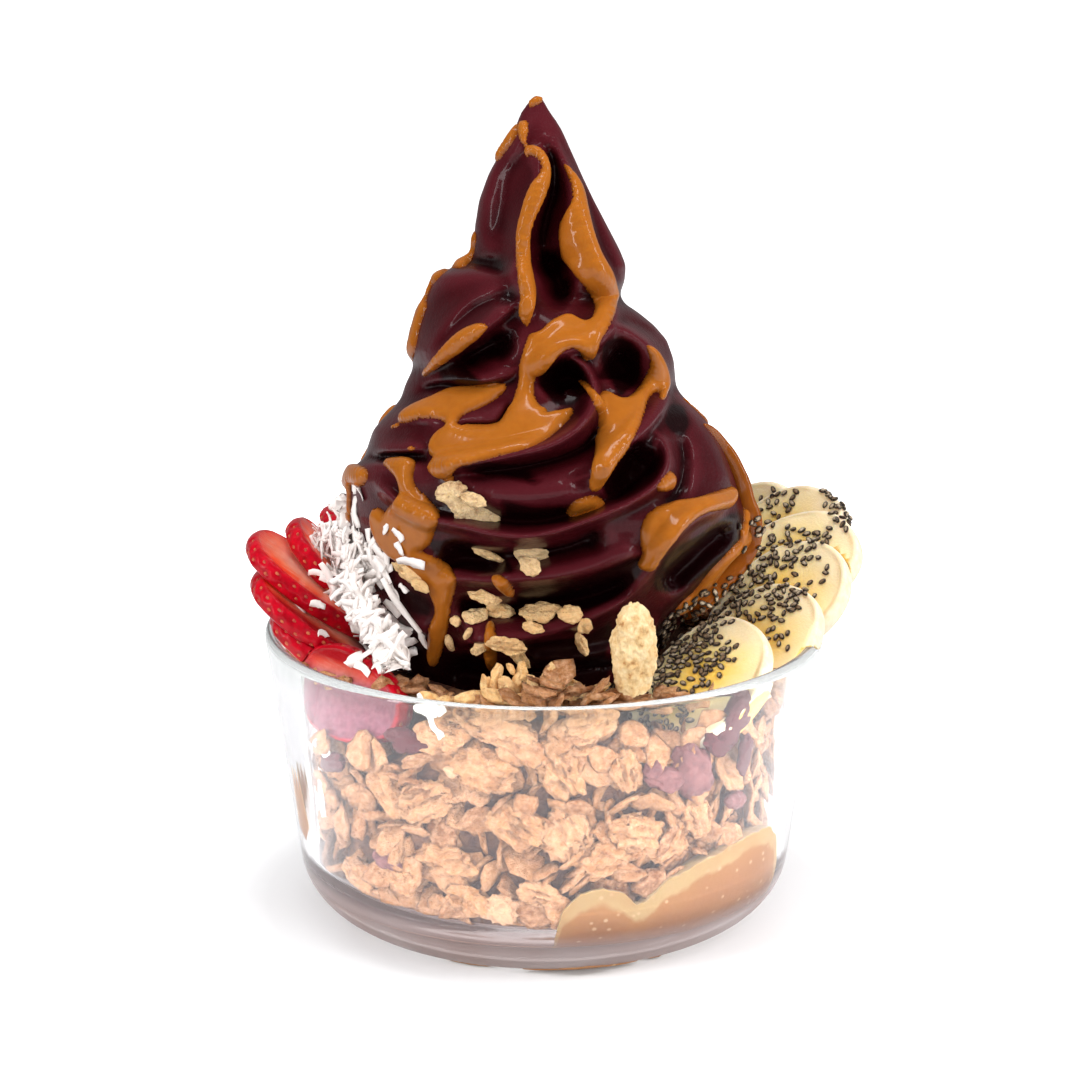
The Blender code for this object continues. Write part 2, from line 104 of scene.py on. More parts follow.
def at_depth(px, py, y):
    """Points on the rays through pixels that lie at given y."""
    way = ways_through(px, py)
    return EYE + way * ((y - EYE[1]) / way[..., 1])[..., None]


def to_pixels(points):
    """Where points land in the photograph, and their distance along the view."""
    off = points - EYE
    deep = off @ AHEAD
    flat = np.stack([CENTRE_X + FOCAL * off[:, 0] / deep, HALF_PICTURE - FOCAL * (off @ UP) / deep], 1)
    return flat, deep


def pixels_per_mm(point):
    """The photograph's scale at a point."""
    return FOCAL / ((point - EYE) @ AHEAD)


# ---------------------------------------------------------------- mesh helpers
def plain_mesh(name, points, faces):
    """A mesh from points in mm; faces are an array, or lists where their sides differ in number."""
    mesh = bpy.data.meshes.new(name)
    points = np.asarray(points, float) * MM
    if isinstance(faces, np.ndarray):
        count, sides = faces.shape
        mesh.vertices.add(len(points))
        mesh.vertices.foreach_set("co", points.astype(np.float32).ravel())
        mesh.loops.add(count * sides)
        mesh.loops.foreach_set("vertex_index", faces.astype(np.int32).ravel())
        mesh.polygons.add(count)
        mesh.polygons.foreach_set("loop_start", np.arange(0, count * sides, sides, dtype=np.int32))
        mesh.update(calc_edges=True)
    else:
        mesh.from_pydata(points.tolist(), [], faces)
    return mesh


def mesh_piece(name, points, faces, mat, slot=None, smooth=True):
    """A visible piece from points in mm, riding on the one body."""
    mesh = plain_mesh(name, points, faces)
    if smooth:
        mesh.shade_smooth()
    piece = bpy.data.objects.new(name, mesh)
    bpy.context.scene.collection.objects.link(piece)
    mesh.materials.append(mat)
    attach(piece, "root")
    return piece


def put_attribute(mesh, name, values):
    """A float or vector attribute on a mesh's points."""
    values = np.asarray(values, np.float32)
    kind = "FLOAT" if values.ndim == 1 else "FLOAT_VECTOR"
    made = mesh.attributes.new(name, kind, "POINT")
    made.data.foreach_set("value" if values.ndim == 1 else "vector", values.ravel())


def get_attribute(mesh, name):
    """The values of a float or vector attribute."""
    made = mesh.attributes[name]
    if made.data_type == "FLOAT_VECTOR":
        values = np.empty(len(made.data) * 3, np.float32)
        made.data.foreach_get("vector", values)
        return values.reshape(-1, 3)
    values = np.empty(len(made.data), np.float32)
    made.data.foreach_get("value", values)
    return values


def points_of(mesh):
    """Points of a mesh in mm."""
    co = np.empty(len(mesh.vertices) * 3, np.float32)
    mesh.vertices.foreach_get("co", co)
    return co.reshape(-1, 3).astype(float) / MM


def triangles_of(mesh):
    """Corners of a mesh's triangles."""
    mesh.calc_loop_triangles()
    tri = np.empty(len(mesh.loop_triangles) * 3, np.int32)
    mesh.loop_triangles.foreach_get("vertices", tri)
    return tri.reshape(-1, 3)


def evaluated(mesh, *steps):
    """A mesh after modifiers, each a (kind, settings) pair."""
    temp = bpy.data.objects.new("temp", mesh)
    bpy.context.scene.collection.objects.link(temp)
    for kind, settings in steps:
        step = temp.modifiers.new(kind, kind)
        for key, value in settings.items():
            setattr(step, key, value)
    graph = bpy.context.evaluated_depsgraph_get()
    made = bpy.data.meshes.new_from_object(temp.evaluated_get(graph))
    bpy.data.objects.remove(temp)
    return made


def unit(vectors):
    """Rows of vectors brought to length 1."""
    return vectors / np.linalg.norm(vectors, axis=1)[:, None]


def run_of(line):
    """Length along a line up to each of its points."""
    return np.concatenate([[0], np.cumsum(np.linalg.norm(np.diff(line, axis=0), axis=1))])


def ring_faces(rings, around, first=0, flipped=False, capped=True):
    """Quads between closed rings that follow each other, and a cap on the first and the last."""
    i = np.arange(rings - 1)[:, None] * around + first
    j = np.arange(around)[None, :]
    k = (j + 1) % around
    corners = [i + j, i + k, i + around + k, i + around + j]
    if flipped:
        corners = [i + j, i + around + j, i + around + k, i + k]
    faces = np.stack(corners, -1).reshape(-1, 4).tolist()
    if capped:
        start = list(range(first, first + around))
        end = list(range(first + (rings - 1) * around, first + rings * around))
        faces.append(start if flipped else start[::-1])
        faces.append(end[::-1] if flipped else end)
    return faces


def vertex_normals(points, tri):
    """Area-weighted normals."""
    n = np.cross(points[tri[:, 1]] - points[tri[:, 0]], points[tri[:, 2]] - points[tri[:, 0]])
    total = np.zeros_like(points)
    for k in range(3):
        for axis in range(3):
            total[:, axis] += np.bincount(tri[:, k], n[:, axis], len(points))
    return total / np.maximum(np.linalg.norm(total, axis=1), 1e-12)[:, None]


def sides_of(tri):
    """The three sides of each triangle, in its own turning direction."""
    return np.concatenate([tri[:, [0, 1]], tri[:, [1, 2]], tri[:, [2, 0]]])


def edges_of(tri):
    """Each edge of a triangle mesh once."""
    return np.unique(np.sort(sides_of(tri), axis=1), axis=0)


def relaxed(values, edges, rounds, factor=0.5, fixed=None):
    """Values averaged with their neighbours' over a mesh's edges."""
    values = np.asarray(values, float).copy()
    count = np.bincount(edges.ravel(), minlength=len(values)).astype(float)
    flat = values.reshape(len(values), -1)
    for _ in range(rounds):
        mean = np.empty_like(flat)
        for axis in range(flat.shape[1]):
            mean[:, axis] = (np.bincount(edges[:, 0], flat[edges[:, 1], axis], len(flat))
                             + np.bincount(edges[:, 1], flat[edges[:, 0], axis], len(flat)))
        mean /= np.maximum(count, 1)[:, None]
        step = (mean - flat) * factor
        if fixed is not None:
            step[fixed] = 0
        flat += step
    return flat.reshape(values.shape)


def split_triangles(points, tri, extra=()):
    """Each triangle into four; extra arrays are carried along."""
    edges = edges_of(tri)
    key = edges[:, 0].astype(np.int64) * (len(points) + 1) + edges[:, 1]
    order = np.argsort(key)
    key = key[order]
    edges = edges[order]

    def middle(a, b):
        low = np.minimum(a, b).astype(np.int64)
        high = np.maximum(a, b)
        return len(points) + np.searchsorted(key, low * (len(points) + 1) + high)

    ab = middle(tri[:, 0], tri[:, 1])
    bc = middle(tri[:, 1], tri[:, 2])
    ca = middle(tri[:, 2], tri[:, 0])
    new_tri = np.concatenate([np.stack([tri[:, 0], ab, ca], 1), np.stack([ab, tri[:, 1], bc], 1),
                              np.stack([ca, bc, tri[:, 2]], 1), np.stack([ab, bc, ca], 1)])
    grown = [np.concatenate([v, (v[edges[:, 0]] + v[edges[:, 1]]) / 2]) for v in (points, *extra)]
    return grown[0], new_tri, grown[1:]


def compact(points, tri, extra=()):
    """Only the points that triangles use."""
    used = np.unique(tri)
    table = np.full(len(points), -1)
    table[used] = np.arange(len(used))
    return points[used], table[tri], [v[used] for v in extra]


def frames(out, spin):
    """Rotation matrices whose third column is a direction, turned about it."""
    out = unit(out)
    side = unit(np.cross(out, np.where(np.abs(out[:, 2:3]) < 0.9, [[0.0, 0.0, 1.0]], [[1.0, 0.0, 0.0]])))
    other = np.cross(out, side)
    c = np.cos(spin)[:, None]
    s = np.sin(spin)[:, None]
    return np.stack([side * c + other * s, other * c - side * s, out], 2)


def along(keys, at):
    """Values of a key list at given places, joined by smooth cubic pieces."""
    keys = np.array(keys, float)
    x = keys[:, 0]
    y = keys[:, 1]
    slope = np.gradient(y, x)
    slope[1:-1] = (y[2:] - y[:-2]) / (x[2:] - x[:-2])
    i = np.clip(np.searchsorted(x, at, side="right") - 1, 0, len(x) - 2)
    h = x[i + 1] - x[i]
    t = (at - x[i]) / h
    start = (2 * t**3 - 3 * t**2 + 1) * y[i] + (t**3 - 2 * t**2 + t) * h * slope[i]
    end = (3 * t**2 - 2 * t**3) * y[i + 1] + (t**3 - t**2) * h * slope[i + 1]
    return start + end


# ---------------------------------------------------------------- material helpers
def new_material(name, **settings):
    """A Principled material; settings are its sockets, underscores for spaces."""
    mat = bpy.data.materials.new(name)
    mat.use_nodes = True
    shader = mat.node_tree.nodes["Principled BSDF"]
    for key, value in settings.items():
        socket = shader.inputs[key.replace("_", " ")]
        if socket.type == "RGBA":
            value = (*value, 1.0)
        socket.default_value = value
    return mat, mat.node_tree, shader


def node(tree, kind, *links, **settings):
    """A node; links are (input, output socket) pairs, settings are inputs or properties."""
    made = tree.nodes.new("ShaderNode" + kind)
    for key, value in settings.items():
        if hasattr(made, key) and key not in made.inputs:
            setattr(made, key, value)
        else:
            made.inputs[key.replace("_", " ")].default_value = value
    for where, source in links:
        tree.links.new(source, made.inputs[where])
    return made


def feed(tree, socket, value):
    """A socket gets a link from another one, a colour or a number."""
    if hasattr(value, "is_linked"):
        tree.links.new(value, socket)
    elif isinstance(value, tuple):
        socket.default_value = (*value, 1.0)
    else:
        socket.default_value = value


def paint(tree, shader, colour):
    """The surface's colour."""
    tree.links.new(colour, shader.inputs["Base Color"])


def place(tree, attribute=None):
    """Coordinates: the object's own in metres, or a vector attribute's."""
    if attribute:
        return node(tree, "Attribute", attribute_name=attribute).outputs["Vector"]
    return node(tree, "TexCoord").outputs["Object"]


def carried(tree, attribute):
    """A number that the points carry."""
    return node(tree, "Attribute", attribute_name=attribute).outputs["Fac"]


def split(tree, where):
    """The X, Y and Z of coordinates."""
    return node(tree, "SeparateXYZ", ("Vector", where)).outputs


def grain(tree, where, scale, detail=3.0, rough=0.55, **more):
    """Noise, 0 to 1."""
    return node(tree, "TexNoise", ("Vector", where), Scale=scale, Detail=detail, Roughness=rough,
                **more).outputs["Fac"]


def ramp(tree, source, *stops):
    """A colour ramp; stops are (place, colour)."""
    made = node(tree, "ValToRGB", ("Fac", source))
    band = made.color_ramp
    while len(band.elements) < len(stops):
        band.elements.new(0.5)
    for element, (at, colour) in zip(band.elements, stops):
        element.position = at
        if isinstance(colour, float):
            colour = (colour, colour, colour)
        element.color = (*colour, 1.0)
    return made.outputs["Color"]


def mixed(tree, by, first, second, how="MIX"):
    """Two colours mixed."""
    made = node(tree, "Mix")
    made.data_type = "RGBA"
    made.blend_type = how
    made.clamp_factor = True
    # a colour Mix node has its factor, two colours and result in these places
    feed(tree, made.inputs[0], by)
    feed(tree, made.inputs[6], first)
    feed(tree, made.inputs[7], second)
    return made.outputs[2]


def maths(tree, how, first, second=0.5):
    """A calculation with two values."""
    made = node(tree, "Math", operation=how)
    feed(tree, made.inputs[0], first)
    feed(tree, made.inputs[1], second)
    return made.outputs[0]


def times(tree, first, second):
    """Two values multiplied."""
    return maths(tree, "MULTIPLY", first, second)


def bumped(tree, shader, height, distance, strength=1.0, under=None):
    """Relief from a height, distance in metres."""
    made = node(tree, "Bump", ("Height", height), Strength=strength, Distance=distance)
    if under is not None:
        tree.links.new(under, made.inputs["Normal"])
    if shader is not None:
        tree.links.new(made.outputs["Normal"], shader.inputs["Normal"])
    return made.outputs["Normal"]


# ---------------------------------------------------------------- light and floor
def softbox(name, place_at, aim, size, power, mirrored=False):
    """A large area lamp aimed at a point, in mm and W; only the narrow strips show as reflections."""
    lamp = bpy.data.lights.new(name, "AREA")
    lamp.shape = "RECTANGLE"
    lamp.size = size[0] * MM
    lamp.size_y = size[1] * MM
    lamp.energy = power
    made = bpy.data.objects.new(name, lamp)
    made.location = Vector(place_at) * MM
    made.rotation_euler = (Vector(aim) - Vector(place_at)).to_track_quat("-Z", "Y").to_euler()
    made.visible_glossy = mirrored
    bpy.context.scene.collection.objects.link(made)


# name, place, the point they are aimed at, width and height, power
softbox("key_left", (-640, -330, 520), (0, 0, 95), (300, 640), 3.3)
softbox("rim_right", (680, -20, 360), (0, 0, 95), (260, 640), 2.5)
softbox("top_back", (0, 300, 820), (0, 0, 80), (800, 360), 2.4)
softbox("front_fill", (-40, -900, 330), (0, 0, 60), (700, 500), 3.0)
softbox("right_fill", (430, -640, 230), (45, 0, 70), (360, 360), 1.5)
softbox("right_top", (420, -260, 560), (48, 8, 72), (300, 300), 1.3)
softbox("strip_left", (-600, -360, 330), (0, 0, 95), (70, 560), 1.3, True)
softbox("strip_right", (640, -160, 330), (0, 0, 95), (60, 520), 1.1, True)
softbox("strip_top", (-40, -60, 780), (0, 0, 80), (520, 80), 1.1, True)


def by_ray(tree, seen, diffuse, glossy):
    """A strength that depends on the kind of ray, for the studio around the object.

    What a surface mirrors is the darker glossy value. What shows straight, or through the glass, is
    the bright one.
    """
    path = node(tree, "LightPath").outputs
    direct = node(tree, "Mix", ("Factor", path["Is Diffuse Ray"]), B=diffuse)
    feed(tree, direct.inputs["A"], seen)
    outside = maths(tree, "SUBTRACT", 1.0, path["Is Transmission Ray"])
    mirrored = times(tree, path["Is Glossy Ray"], outside)
    made = node(tree, "Mix", ("Factor", mirrored), ("A", direct.outputs["Result"]))
    feed(tree, made.inputs["B"], glossy)
    return made.outputs["Result"]


def ranged(tree, value, low, high, to_low, to_high):
    """A value taken from one range to another."""
    made = node(tree, "MapRange", ("Value", value))
    made.inputs["From Min"].default_value = low
    made.inputs["From Max"].default_value = high
    feed(tree, made.inputs["To Min"], to_low)
    feed(tree, made.inputs["To Max"], to_high)
    return made.outputs["Result"]


world = bpy.data.worlds.new("studio")
world.use_nodes = True
tree = world.node_tree
side = split(tree, node(tree, "TexCoord").outputs["Generated"])["Y"]
# the wall behind the object mirrors brighter than the room on the eye's side
behind = ranged(tree, side, 0.15, 0.95, 0.02, 0.30)
strength = by_ray(tree, seen=1.0, diffuse=0.22, glossy=behind)
tree.links.new(strength, tree.nodes["Background"].inputs["Strength"])
tree.nodes["Background"].inputs["Color"].default_value = (1.0, 1.0, 1.0, 1.0)
world.cycles.sampling_method = "NONE"
bpy.context.scene.world = world

# plain white table: it shows white, and throws little light back up
TABLE_HALF = 30.0           # m
TABLE_GAP = 0.0002          # m, under the glass
SHADE_INNER = 0.064         # m from the axis: the table's glow fades in from here to SHADE_OUTER
SHADE_OUTER = 0.130
GLOW_BELOW = 0.84           # glow under the bowl, for rays that come through the glass
GLOW_HIDDEN = 0.78          # what of it the camera doesn't see, so that the contact shadow shows
floor_mat, tree, shader = new_material("pale_floor", Roughness=0.9, Emission_Color=(1.0, 1.0, 1.0))
pale = ramp(tree, grain(tree, place(tree), 3.0), (0.3, (0.84, 0.84, 0.85)), (0.7, (0.87, 0.87, 0.88)))
path = node(tree, "LightPath").outputs
paint(tree, shader, mixed(tree, path["Is Diffuse Ray"], pale, (0.25, 0.25, 0.25)))
reach = node(tree, "VectorMath", (0, place(tree)), operation="LENGTH").outputs["Value"]
below = maths(tree, "SUBTRACT", GLOW_BELOW, times(tree, path["Is Camera Ray"], GLOW_HIDDEN))
lit = ranged(tree, reach, SHADE_INNER, SHADE_OUTER, below, 1.0)
glow = by_ray(tree, seen=lit, diffuse=0.05, glossy=0.04)
tree.links.new(glow, shader.inputs["Emission Strength"])
corners = [(-TABLE_HALF, -TABLE_HALF, 0), (TABLE_HALF, -TABLE_HALF, 0), (TABLE_HALF, TABLE_HALF, 0),
           (-TABLE_HALF, TABLE_HALF, 0)]
mesh = bpy.data.meshes.new("floor")
mesh.from_pydata(corners, [], [(0, 1, 2, 3)])
mesh.materials.append(floor_mat)
floor_mat.cycles.emission_sampling = "NONE"
floor = bpy.data.objects.new("floor", mesh)
floor.location.z = -TABLE_GAP
bpy.context.scene.collection.objects.link(floor)
floor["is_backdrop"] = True
bpy.context.scene.view_settings.view_transform = "Standard"

# ---------------------------------------------------------------- acai swirl
FLUTES = 8
FLUTE_DEPTH = 0.42          # share of the rope's radius
FLUTE_ROUND = 0.36          # how round the valleys between flutes are
FLUTE_HOOK = -0.45          # how much the flutes lean over
# the rope's course, each list giving a value in mm or degrees at a number of turns: turns taken round
# the axis, the coil's radius and height, the rope's own radius, how much lower the coil lies in front
# than at the side, how the flutes roll, and the shift to the right
ROPE_TURN = [(-0.75, -0.75), (1.5, 1.5), (1.75, 1.75), (2.0, 1.93), (2.25, 2.03), (2.5, 2.08), (3.0, 2.08)]
ROPE_RING = [(-0.75, 26), (-0.25, 29), (0.25, 31), (0.75, 24), (1.25, 17), (1.75, 10.5), (2.0, 7),
             (2.25, 3), (2.5, 0.5), (3.0, 0)]
ROPE_HEIGHT = [(-0.75, 58), (-0.25, 71), (0.25, 88), (0.75, 100), (1.25, 119), (1.75, 131), (2.0, 138),
               (2.25, 148), (2.5, 160), (2.75, 172), (3.0, 182)]
ROPE_RADIUS = [(-0.75, 14), (-0.25, 16), (0.25, 17), (1.75, 17), (2.0, 17.5), (2.25, 17), (2.5, 12.5),
               (2.75, 7.5), (3.0, 0.9)]
ROPE_SAG = [(-0.75, 3), (0.0, 6), (1.0, 6), (1.75, 4), (2.1, 1), (2.4, 0), (3.0, 0)]
ROPE_ROLL = [(-0.75, 370), (0.0, 270), (0.75, 162), (1.0, 135), (1.75, 33), (2.0, 2), (2.25, -22),
             (2.5, -34), (3.0, -34)]
ROPE_SHIFT = [(-0.75, 0), (0.25, -1), (0.75, -2), (1.25, -4), (1.75, -4.5), (2.0, -4), (2.25, -2),
              (2.5, -0.5), (3.0, -0.5)]
# (radius, height) in mm of the cone inside the coil, and of the seat in the granola
CORE = [(20.0, 37.5), (22.0, 84.0), (14.0, 112.0), (5.0, 140.0)]
SEAT = [(24.0, 37.0), (33.0, 44.0), (41.0, 55.0), (46.5, 64.0), (49.0, 78.0)]
ROPE_RINGS = 560
ROPE_AROUND = 216
CORE_AROUND = 48
SWIRL_VOXEL = 0.60


def rope():
    """Points and faces of the fluted rope along its rising coil, and of the cone inside it."""
    u = np.linspace(-0.75, 3.0, ROPE_RINGS)
    phi = np.radians(-90 + 360 * along(ROPE_TURN, u))
    ring = np.maximum(along(ROPE_RING, u), 0)
    size = np.maximum(along(ROPE_RADIUS, u), 0.4)
    roll = np.radians(along(ROPE_ROLL, u))
    height = along(ROPE_HEIGHT, u) + along(ROPE_SAG, u) * np.sin(phi)
    centre = np.stack([along(ROPE_SHIFT, u) + ring * np.cos(phi), ring * np.sin(phi), height], -1)
    ahead = unit(np.gradient(centre, axis=0))
    out = np.stack([np.cos(phi), np.sin(phi), 0 * phi], -1)
    out = unit(out - (out * ahead).sum(1)[:, None] * ahead)
    down = np.cross(ahead, out)
    a = np.linspace(0, 2 * math.pi, ROPE_AROUND, endpoint=False)
    e = FLUTE_ROUND
    valley = (np.sqrt(np.sin(FLUTES * a / 2)**2 + e * e) - e) / (math.sqrt(1 + e * e) - e)
    part = 1 - FLUTE_DEPTH * valley
    turn = a + FLUTE_HOOK * (part**2 - 1)
    angle = turn[None, :] + roll[:, None]
    # lips are torn a little and the body swells and shrinks as it was piped
    wave = 0.010 * np.sin(29 * u)[:, None] + 0.006 * np.sin(61 * u + 1.0)[:, None]
    rho = size[:, None] * part[None, :] * (1 + wave)
    across = (rho * np.cos(angle))[..., None] * out[:, None, :]
    drop = (rho * np.sin(angle))[..., None] * down[:, None, :]
    points = (centre[:, None, :] + across + drop).reshape(-1, 3)
    profile = [(0.01, CORE[0][1])] + CORE + [(0.01, CORE[-1][1])]
    turns = np.linspace(0, 2 * math.pi, CORE_AROUND, endpoint=False)
    cone = np.array([[r * math.cos(t), r * math.sin(t), z] for r, z in profile for t in turns])
    faces = ring_faces(ROPE_RINGS, ROPE_AROUND) + ring_faces(len(profile), CORE_AROUND, len(points))
    return np.concatenate([points, cone]), faces


# the swirl's edges in the photograph: (y, x) in its pixels
LEFT_EDGE = [(97, 536), (101, 529), (112, 521), (125, 516), (150, 501), (175, 488), (200, 479), (225, 475),
             (250, 473), (260, 468), (268, 450), (276, 436), (290, 428), (310, 421), (330, 415), (350, 411),
             (368, 413), (385, 405), (398, 401), (408, 393), (418, 383), (430, 373), (445, 368), (458, 364),
             (466, 354), (480, 347), (520, 348), (560, 353), (600, 362), (640, 375), (680, 393), (715, 412)]
RIGHT_EDGE = [(97, 542), (103, 545), (112, 550), (120, 556), (130, 562), (150, 571), (175, 582), (200, 594),
              (225, 607), (250, 620), (265, 626), (280, 625), (294, 620), (303, 624), (312, 638),
              (325, 654), (340, 667), (360, 674), (385, 676), (393, 680), (402, 689), (415, 702),
              (430, 713), (450, 724), (475, 734), (500, 742), (520, 748), (538, 748), (553, 739),
              (570, 724), (585, 710), (600, 697), (620, 682), (640, 668), (660, 655), (680, 640), (715, 618)]
FRONT_FULL = 0.92           # depth of the plain front against its half-width
FRONT_NEAR = 0.985          # distance of the front from the eye against the axis's
TOP_ROW = 97.0              # rows of the photograph between which the front is shaped
END_ROW = 714.0
SWIRL_SCALE = 4.5           # pixels of the photograph to a mm at the swirl
REAR_FULL = 0.30            # how far the front's body reaches back, against its half-width
FRONT_ROWS = 480
FRONT_COLUMNS = 300
ROPE_INSIDE = 0.965         # the rope keeps inside this share of the outline
ROPE_BEHIND = 0.9           # and this far behind the folded front, mm
RIDGE_GAIN = 1.3            # on the heights in FOLDS
CREASE_GAIN = 1.55
FOLD_SPREAD = 2.3           # a fold acts as far out as this many of its reaches
FOLD_EASE = 26              # pixels over which a fold begins and ends
RELIEF_FREE = 4.5           # mm up to which folds add up; above it they flatten out
RELIEF_SOFT = 3.0
# folds of the front: height in mm, reach in pixels to the left of a line that runs down and to its
# right, and the line
FOLDS = [
    (-1.6, 14, 12, [(516, 140), (506, 180), (500, 220), (497, 250)]),
    (1.2, 6, 6, [(528, 112), (520, 140), (508, 160), (497, 175)]),
    (3.6, 14, 6, [(537, 140), (545, 168), (541, 190), (532, 215), (523, 240), (519, 262), (522, 285),
                  (527, 305), (524, 326)]),
    (-4.5, 9, 13, [(543, 135), (553, 165), (554, 190), (547, 215), (543, 240), (547, 262), (556, 285)]),
    (-6.5, 14, 14, [(545, 245), (553, 268), (562, 290), (575, 302)]),
    (4.2, 15, 6, [(548, 130), (560, 156), (571, 178), (579, 203), (586, 230), (594, 252), (604, 272),
                  (613, 288), (616, 305), (611, 325), (600, 343), (588, 356)]),
    (-1.6, 5, 8, [(578, 175), (592, 212), (603, 245), (617, 275), (622, 298)]),
    (3.4, 12, 5, [(604, 340), (585, 348), (570, 350), (555, 358), (540, 370), (528, 377)]),
    (-9.0, 13, 13, [(549, 396), (556, 384), (568, 378), (578, 386), (577, 396)]),
    (-3.0, 5, 9, [(438, 269), (470, 264), (490, 266), (514, 273)]),
    (1.6, 6, 12, [(418, 360), (440, 332), (465, 305), (490, 292), (517, 283)]),
    (4.0, 5, 17, [(412, 378), (432, 365), (455, 350), (480, 333), (505, 312), (521, 298)]),
    (-6.0, 13, 8, [(452, 371), (475, 354), (498, 342), (518, 336)]),
    (2.6, 4, 12, [(440, 377), (465, 378), (485, 380), (505, 375), (521, 367)]),
    (-2.8, 6, 4, [(412, 392), (440, 386), (470, 389), (502, 385)]),
    (2.0, 5, 12, [(384, 432), (400, 421), (425, 419), (448, 423)]),
    (-3.2, 4, 5, [(452, 427), (478, 428), (498, 426), (508, 414), (514, 397)]),
    (4.6, 9, 5, [(558, 355), (575, 360), (588, 372), (595, 388), (594, 405), (585, 422), (568, 437),
                 (545, 448), (515, 455), (485, 461), (455, 466), (425, 470)]),
    (-3.0, 5, 9, [(601, 418), (591, 440), (565, 456), (530, 466), (495, 471), (460, 475)]),
    (1.6, 12, 12, [(470, 489), (510, 494), (550, 492), (585, 484)]),
    (4.0, 12, 5, [(601, 326), (622, 328), (642, 340), (657, 356), (667, 375), (667, 395), (655, 417),
                  (640, 434), (622, 452), (606, 472), (596, 490)]),
    (-10.0, 17, 15, [(604, 350), (616, 360), (624, 377), (621, 391)]),
    (-1.8, 5, 5, [(622, 316), (650, 331), (669, 350), (677, 372), (673, 402)]),
    (-7.0, 12, 14, [(642, 440), (634, 462), (620, 482), (603, 499)]),
    (4.2, 7, 5, [(653, 431), (666, 446), (668, 466), (658, 484), (640, 497), (615, 510), (585, 522),
                 (555, 532), (525, 537), (495, 535), (465, 528), (435, 521), (405, 508), (385, 492),
                 (372, 476)]),
    (-3.4, 8, 7, [(648, 448), (650, 466), (638, 482), (610, 498), (580, 511), (540, 521), (500, 519),
                  (460, 507)]),
    (-4.6, 6, 13, [(608, 529), (565, 547), (520, 554), (480, 553), (440, 545)]),
    (2.6, 12, 5, [(677, 395), (700, 418), (719, 444), (728, 470), (732, 497)]),
    (-2.4, 6, 8, [(676, 425), (683, 460), (677, 490), (655, 507)]),
    (4.4, 14, 5, [(731, 497), (718, 509), (697, 519), (678, 535), (664, 553), (652, 572), (636, 590),
                  (615, 606), (592, 618), (565, 629), (530, 638), (495, 641), (455, 640)]),
    (-7.0, 6, 13, [(737, 523), (715, 537), (695, 554), (675, 573), (658, 592)]),
    (2.6, 14, 5, [(648, 548), (620, 560), (590, 570), (555, 577), (520, 580), (480, 580), (440, 576)]),
    (-6.0, 8, 10, [(636, 577), (605, 591), (570, 600), (530, 606), (490, 608), (450, 602)]),
    (3.2, 10, 5, [(748, 530), (740, 545), (722, 563), (702, 582), (682, 603), (663, 622), (640, 640),
                  (610, 654), (570, 662), (520, 664)]),
    (-5.0, 12, 16, [(690, 622), (660, 648), (620, 668), (570, 676), (500, 676), (440, 668)]),
    (3.0, 4, 14, [(364, 452), (385, 450), (410, 450), (432, 446)]),
    (-3.2, 4, 4, [(362, 460), (400, 457), (430, 456)]),
    (1.6, 10, 4, [(350, 472), (375, 463), (400, 461), (425, 463)]),
    (3.0, 6, 14, [(360, 578), (385, 600), (410, 622), (440, 640)]),
    (-3.5, 10, 10, [(430, 562), (470, 563), (512, 566)]),
]


def edge_of(keys, py):
    """The swirl's edge at a row of the photograph, its corners eased."""
    rows = np.arange(60.0, 760.0)
    keys = np.array(keys, float)
    table = np.interp(rows, keys[:, 0], keys[:, 1])
    soft = np.hanning(11)
    table = np.convolve(np.pad(table, 5, mode="edge"), soft / soft.sum(), mode="valid")
    return np.interp(py, rows, table)


def along_stroke(stroke, step):
    """Points of a stroke every so often, joined smoothly."""
    stroke = np.array(stroke, float)
    run = run_of(stroke[:, :2])
    at = np.linspace(0, run[-1], max(3, int(run[-1] / step) + 1))
    return np.stack([along(np.stack([run, stroke[:, k]], 1), at) if len(stroke) > 2
                     else np.interp(at, run, stroke[:, k]) for k in range(stroke.shape[1])], 1)


def fold_relief(px, py):
    """How far the folds stand out of the plain front at pixels, mm."""
    total = np.zeros(len(px))
    for height, left, right, keys in FOLDS:
        line = along_stroke(keys, 2.0)
        ahead = unit(np.gradient(line, axis=0))
        run = np.linspace(0, 2.0 * len(line), len(line))
        ease = np.clip(np.minimum(run, run[-1] - run) / min(FOLD_EASE, 0.4 * run[-1]), 0, 1)
        ease = ease * ease * (3 - 2 * ease)
        reach = FOLD_SPREAD * max(left, right)
        low = line.min(0) - reach
        high = line.max(0) + reach
        gain = RIDGE_GAIN if height > 0 else CREASE_GAIN
        index = np.nonzero((px > low[0]) & (px < high[0]) & (py > low[1]) & (py < high[1]))[0]
        for part in np.array_split(index, max(1, len(index) // 20000)):
            off = np.stack([px[part], py[part]], 1)[:, None, :] - line[None]
            gap = (off**2).sum(2)
            near = gap.argmin(1)
            pick = np.arange(len(part))
            gap = np.sqrt(gap[pick, near])
            off = off[pick, near]
            turn = ahead[near]
            side = (turn[:, 0] * off[:, 1] - turn[:, 1] * off[:, 0]) / np.maximum(gap, 1e-6)
            wide = (left + right) / 2 + (left - right) / 2 * np.clip(side, -1, 1)
            total[part] += gain * height * ease[near] * np.exp(-(gap / wide)**2)
    flattened = RELIEF_FREE + RELIEF_SOFT * np.tanh((total - RELIEF_FREE) / RELIEF_SOFT)
    return np.where(total > RELIEF_FREE, flattened, total)


def outline_at(py):
    """The swirl's middle and half-width at rows of the photograph, pixels."""
    left = edge_of(LEFT_EDGE, py)
    right = edge_of(RIGHT_EDGE, py)
    return (left + right) / 2, (right - left) / 2


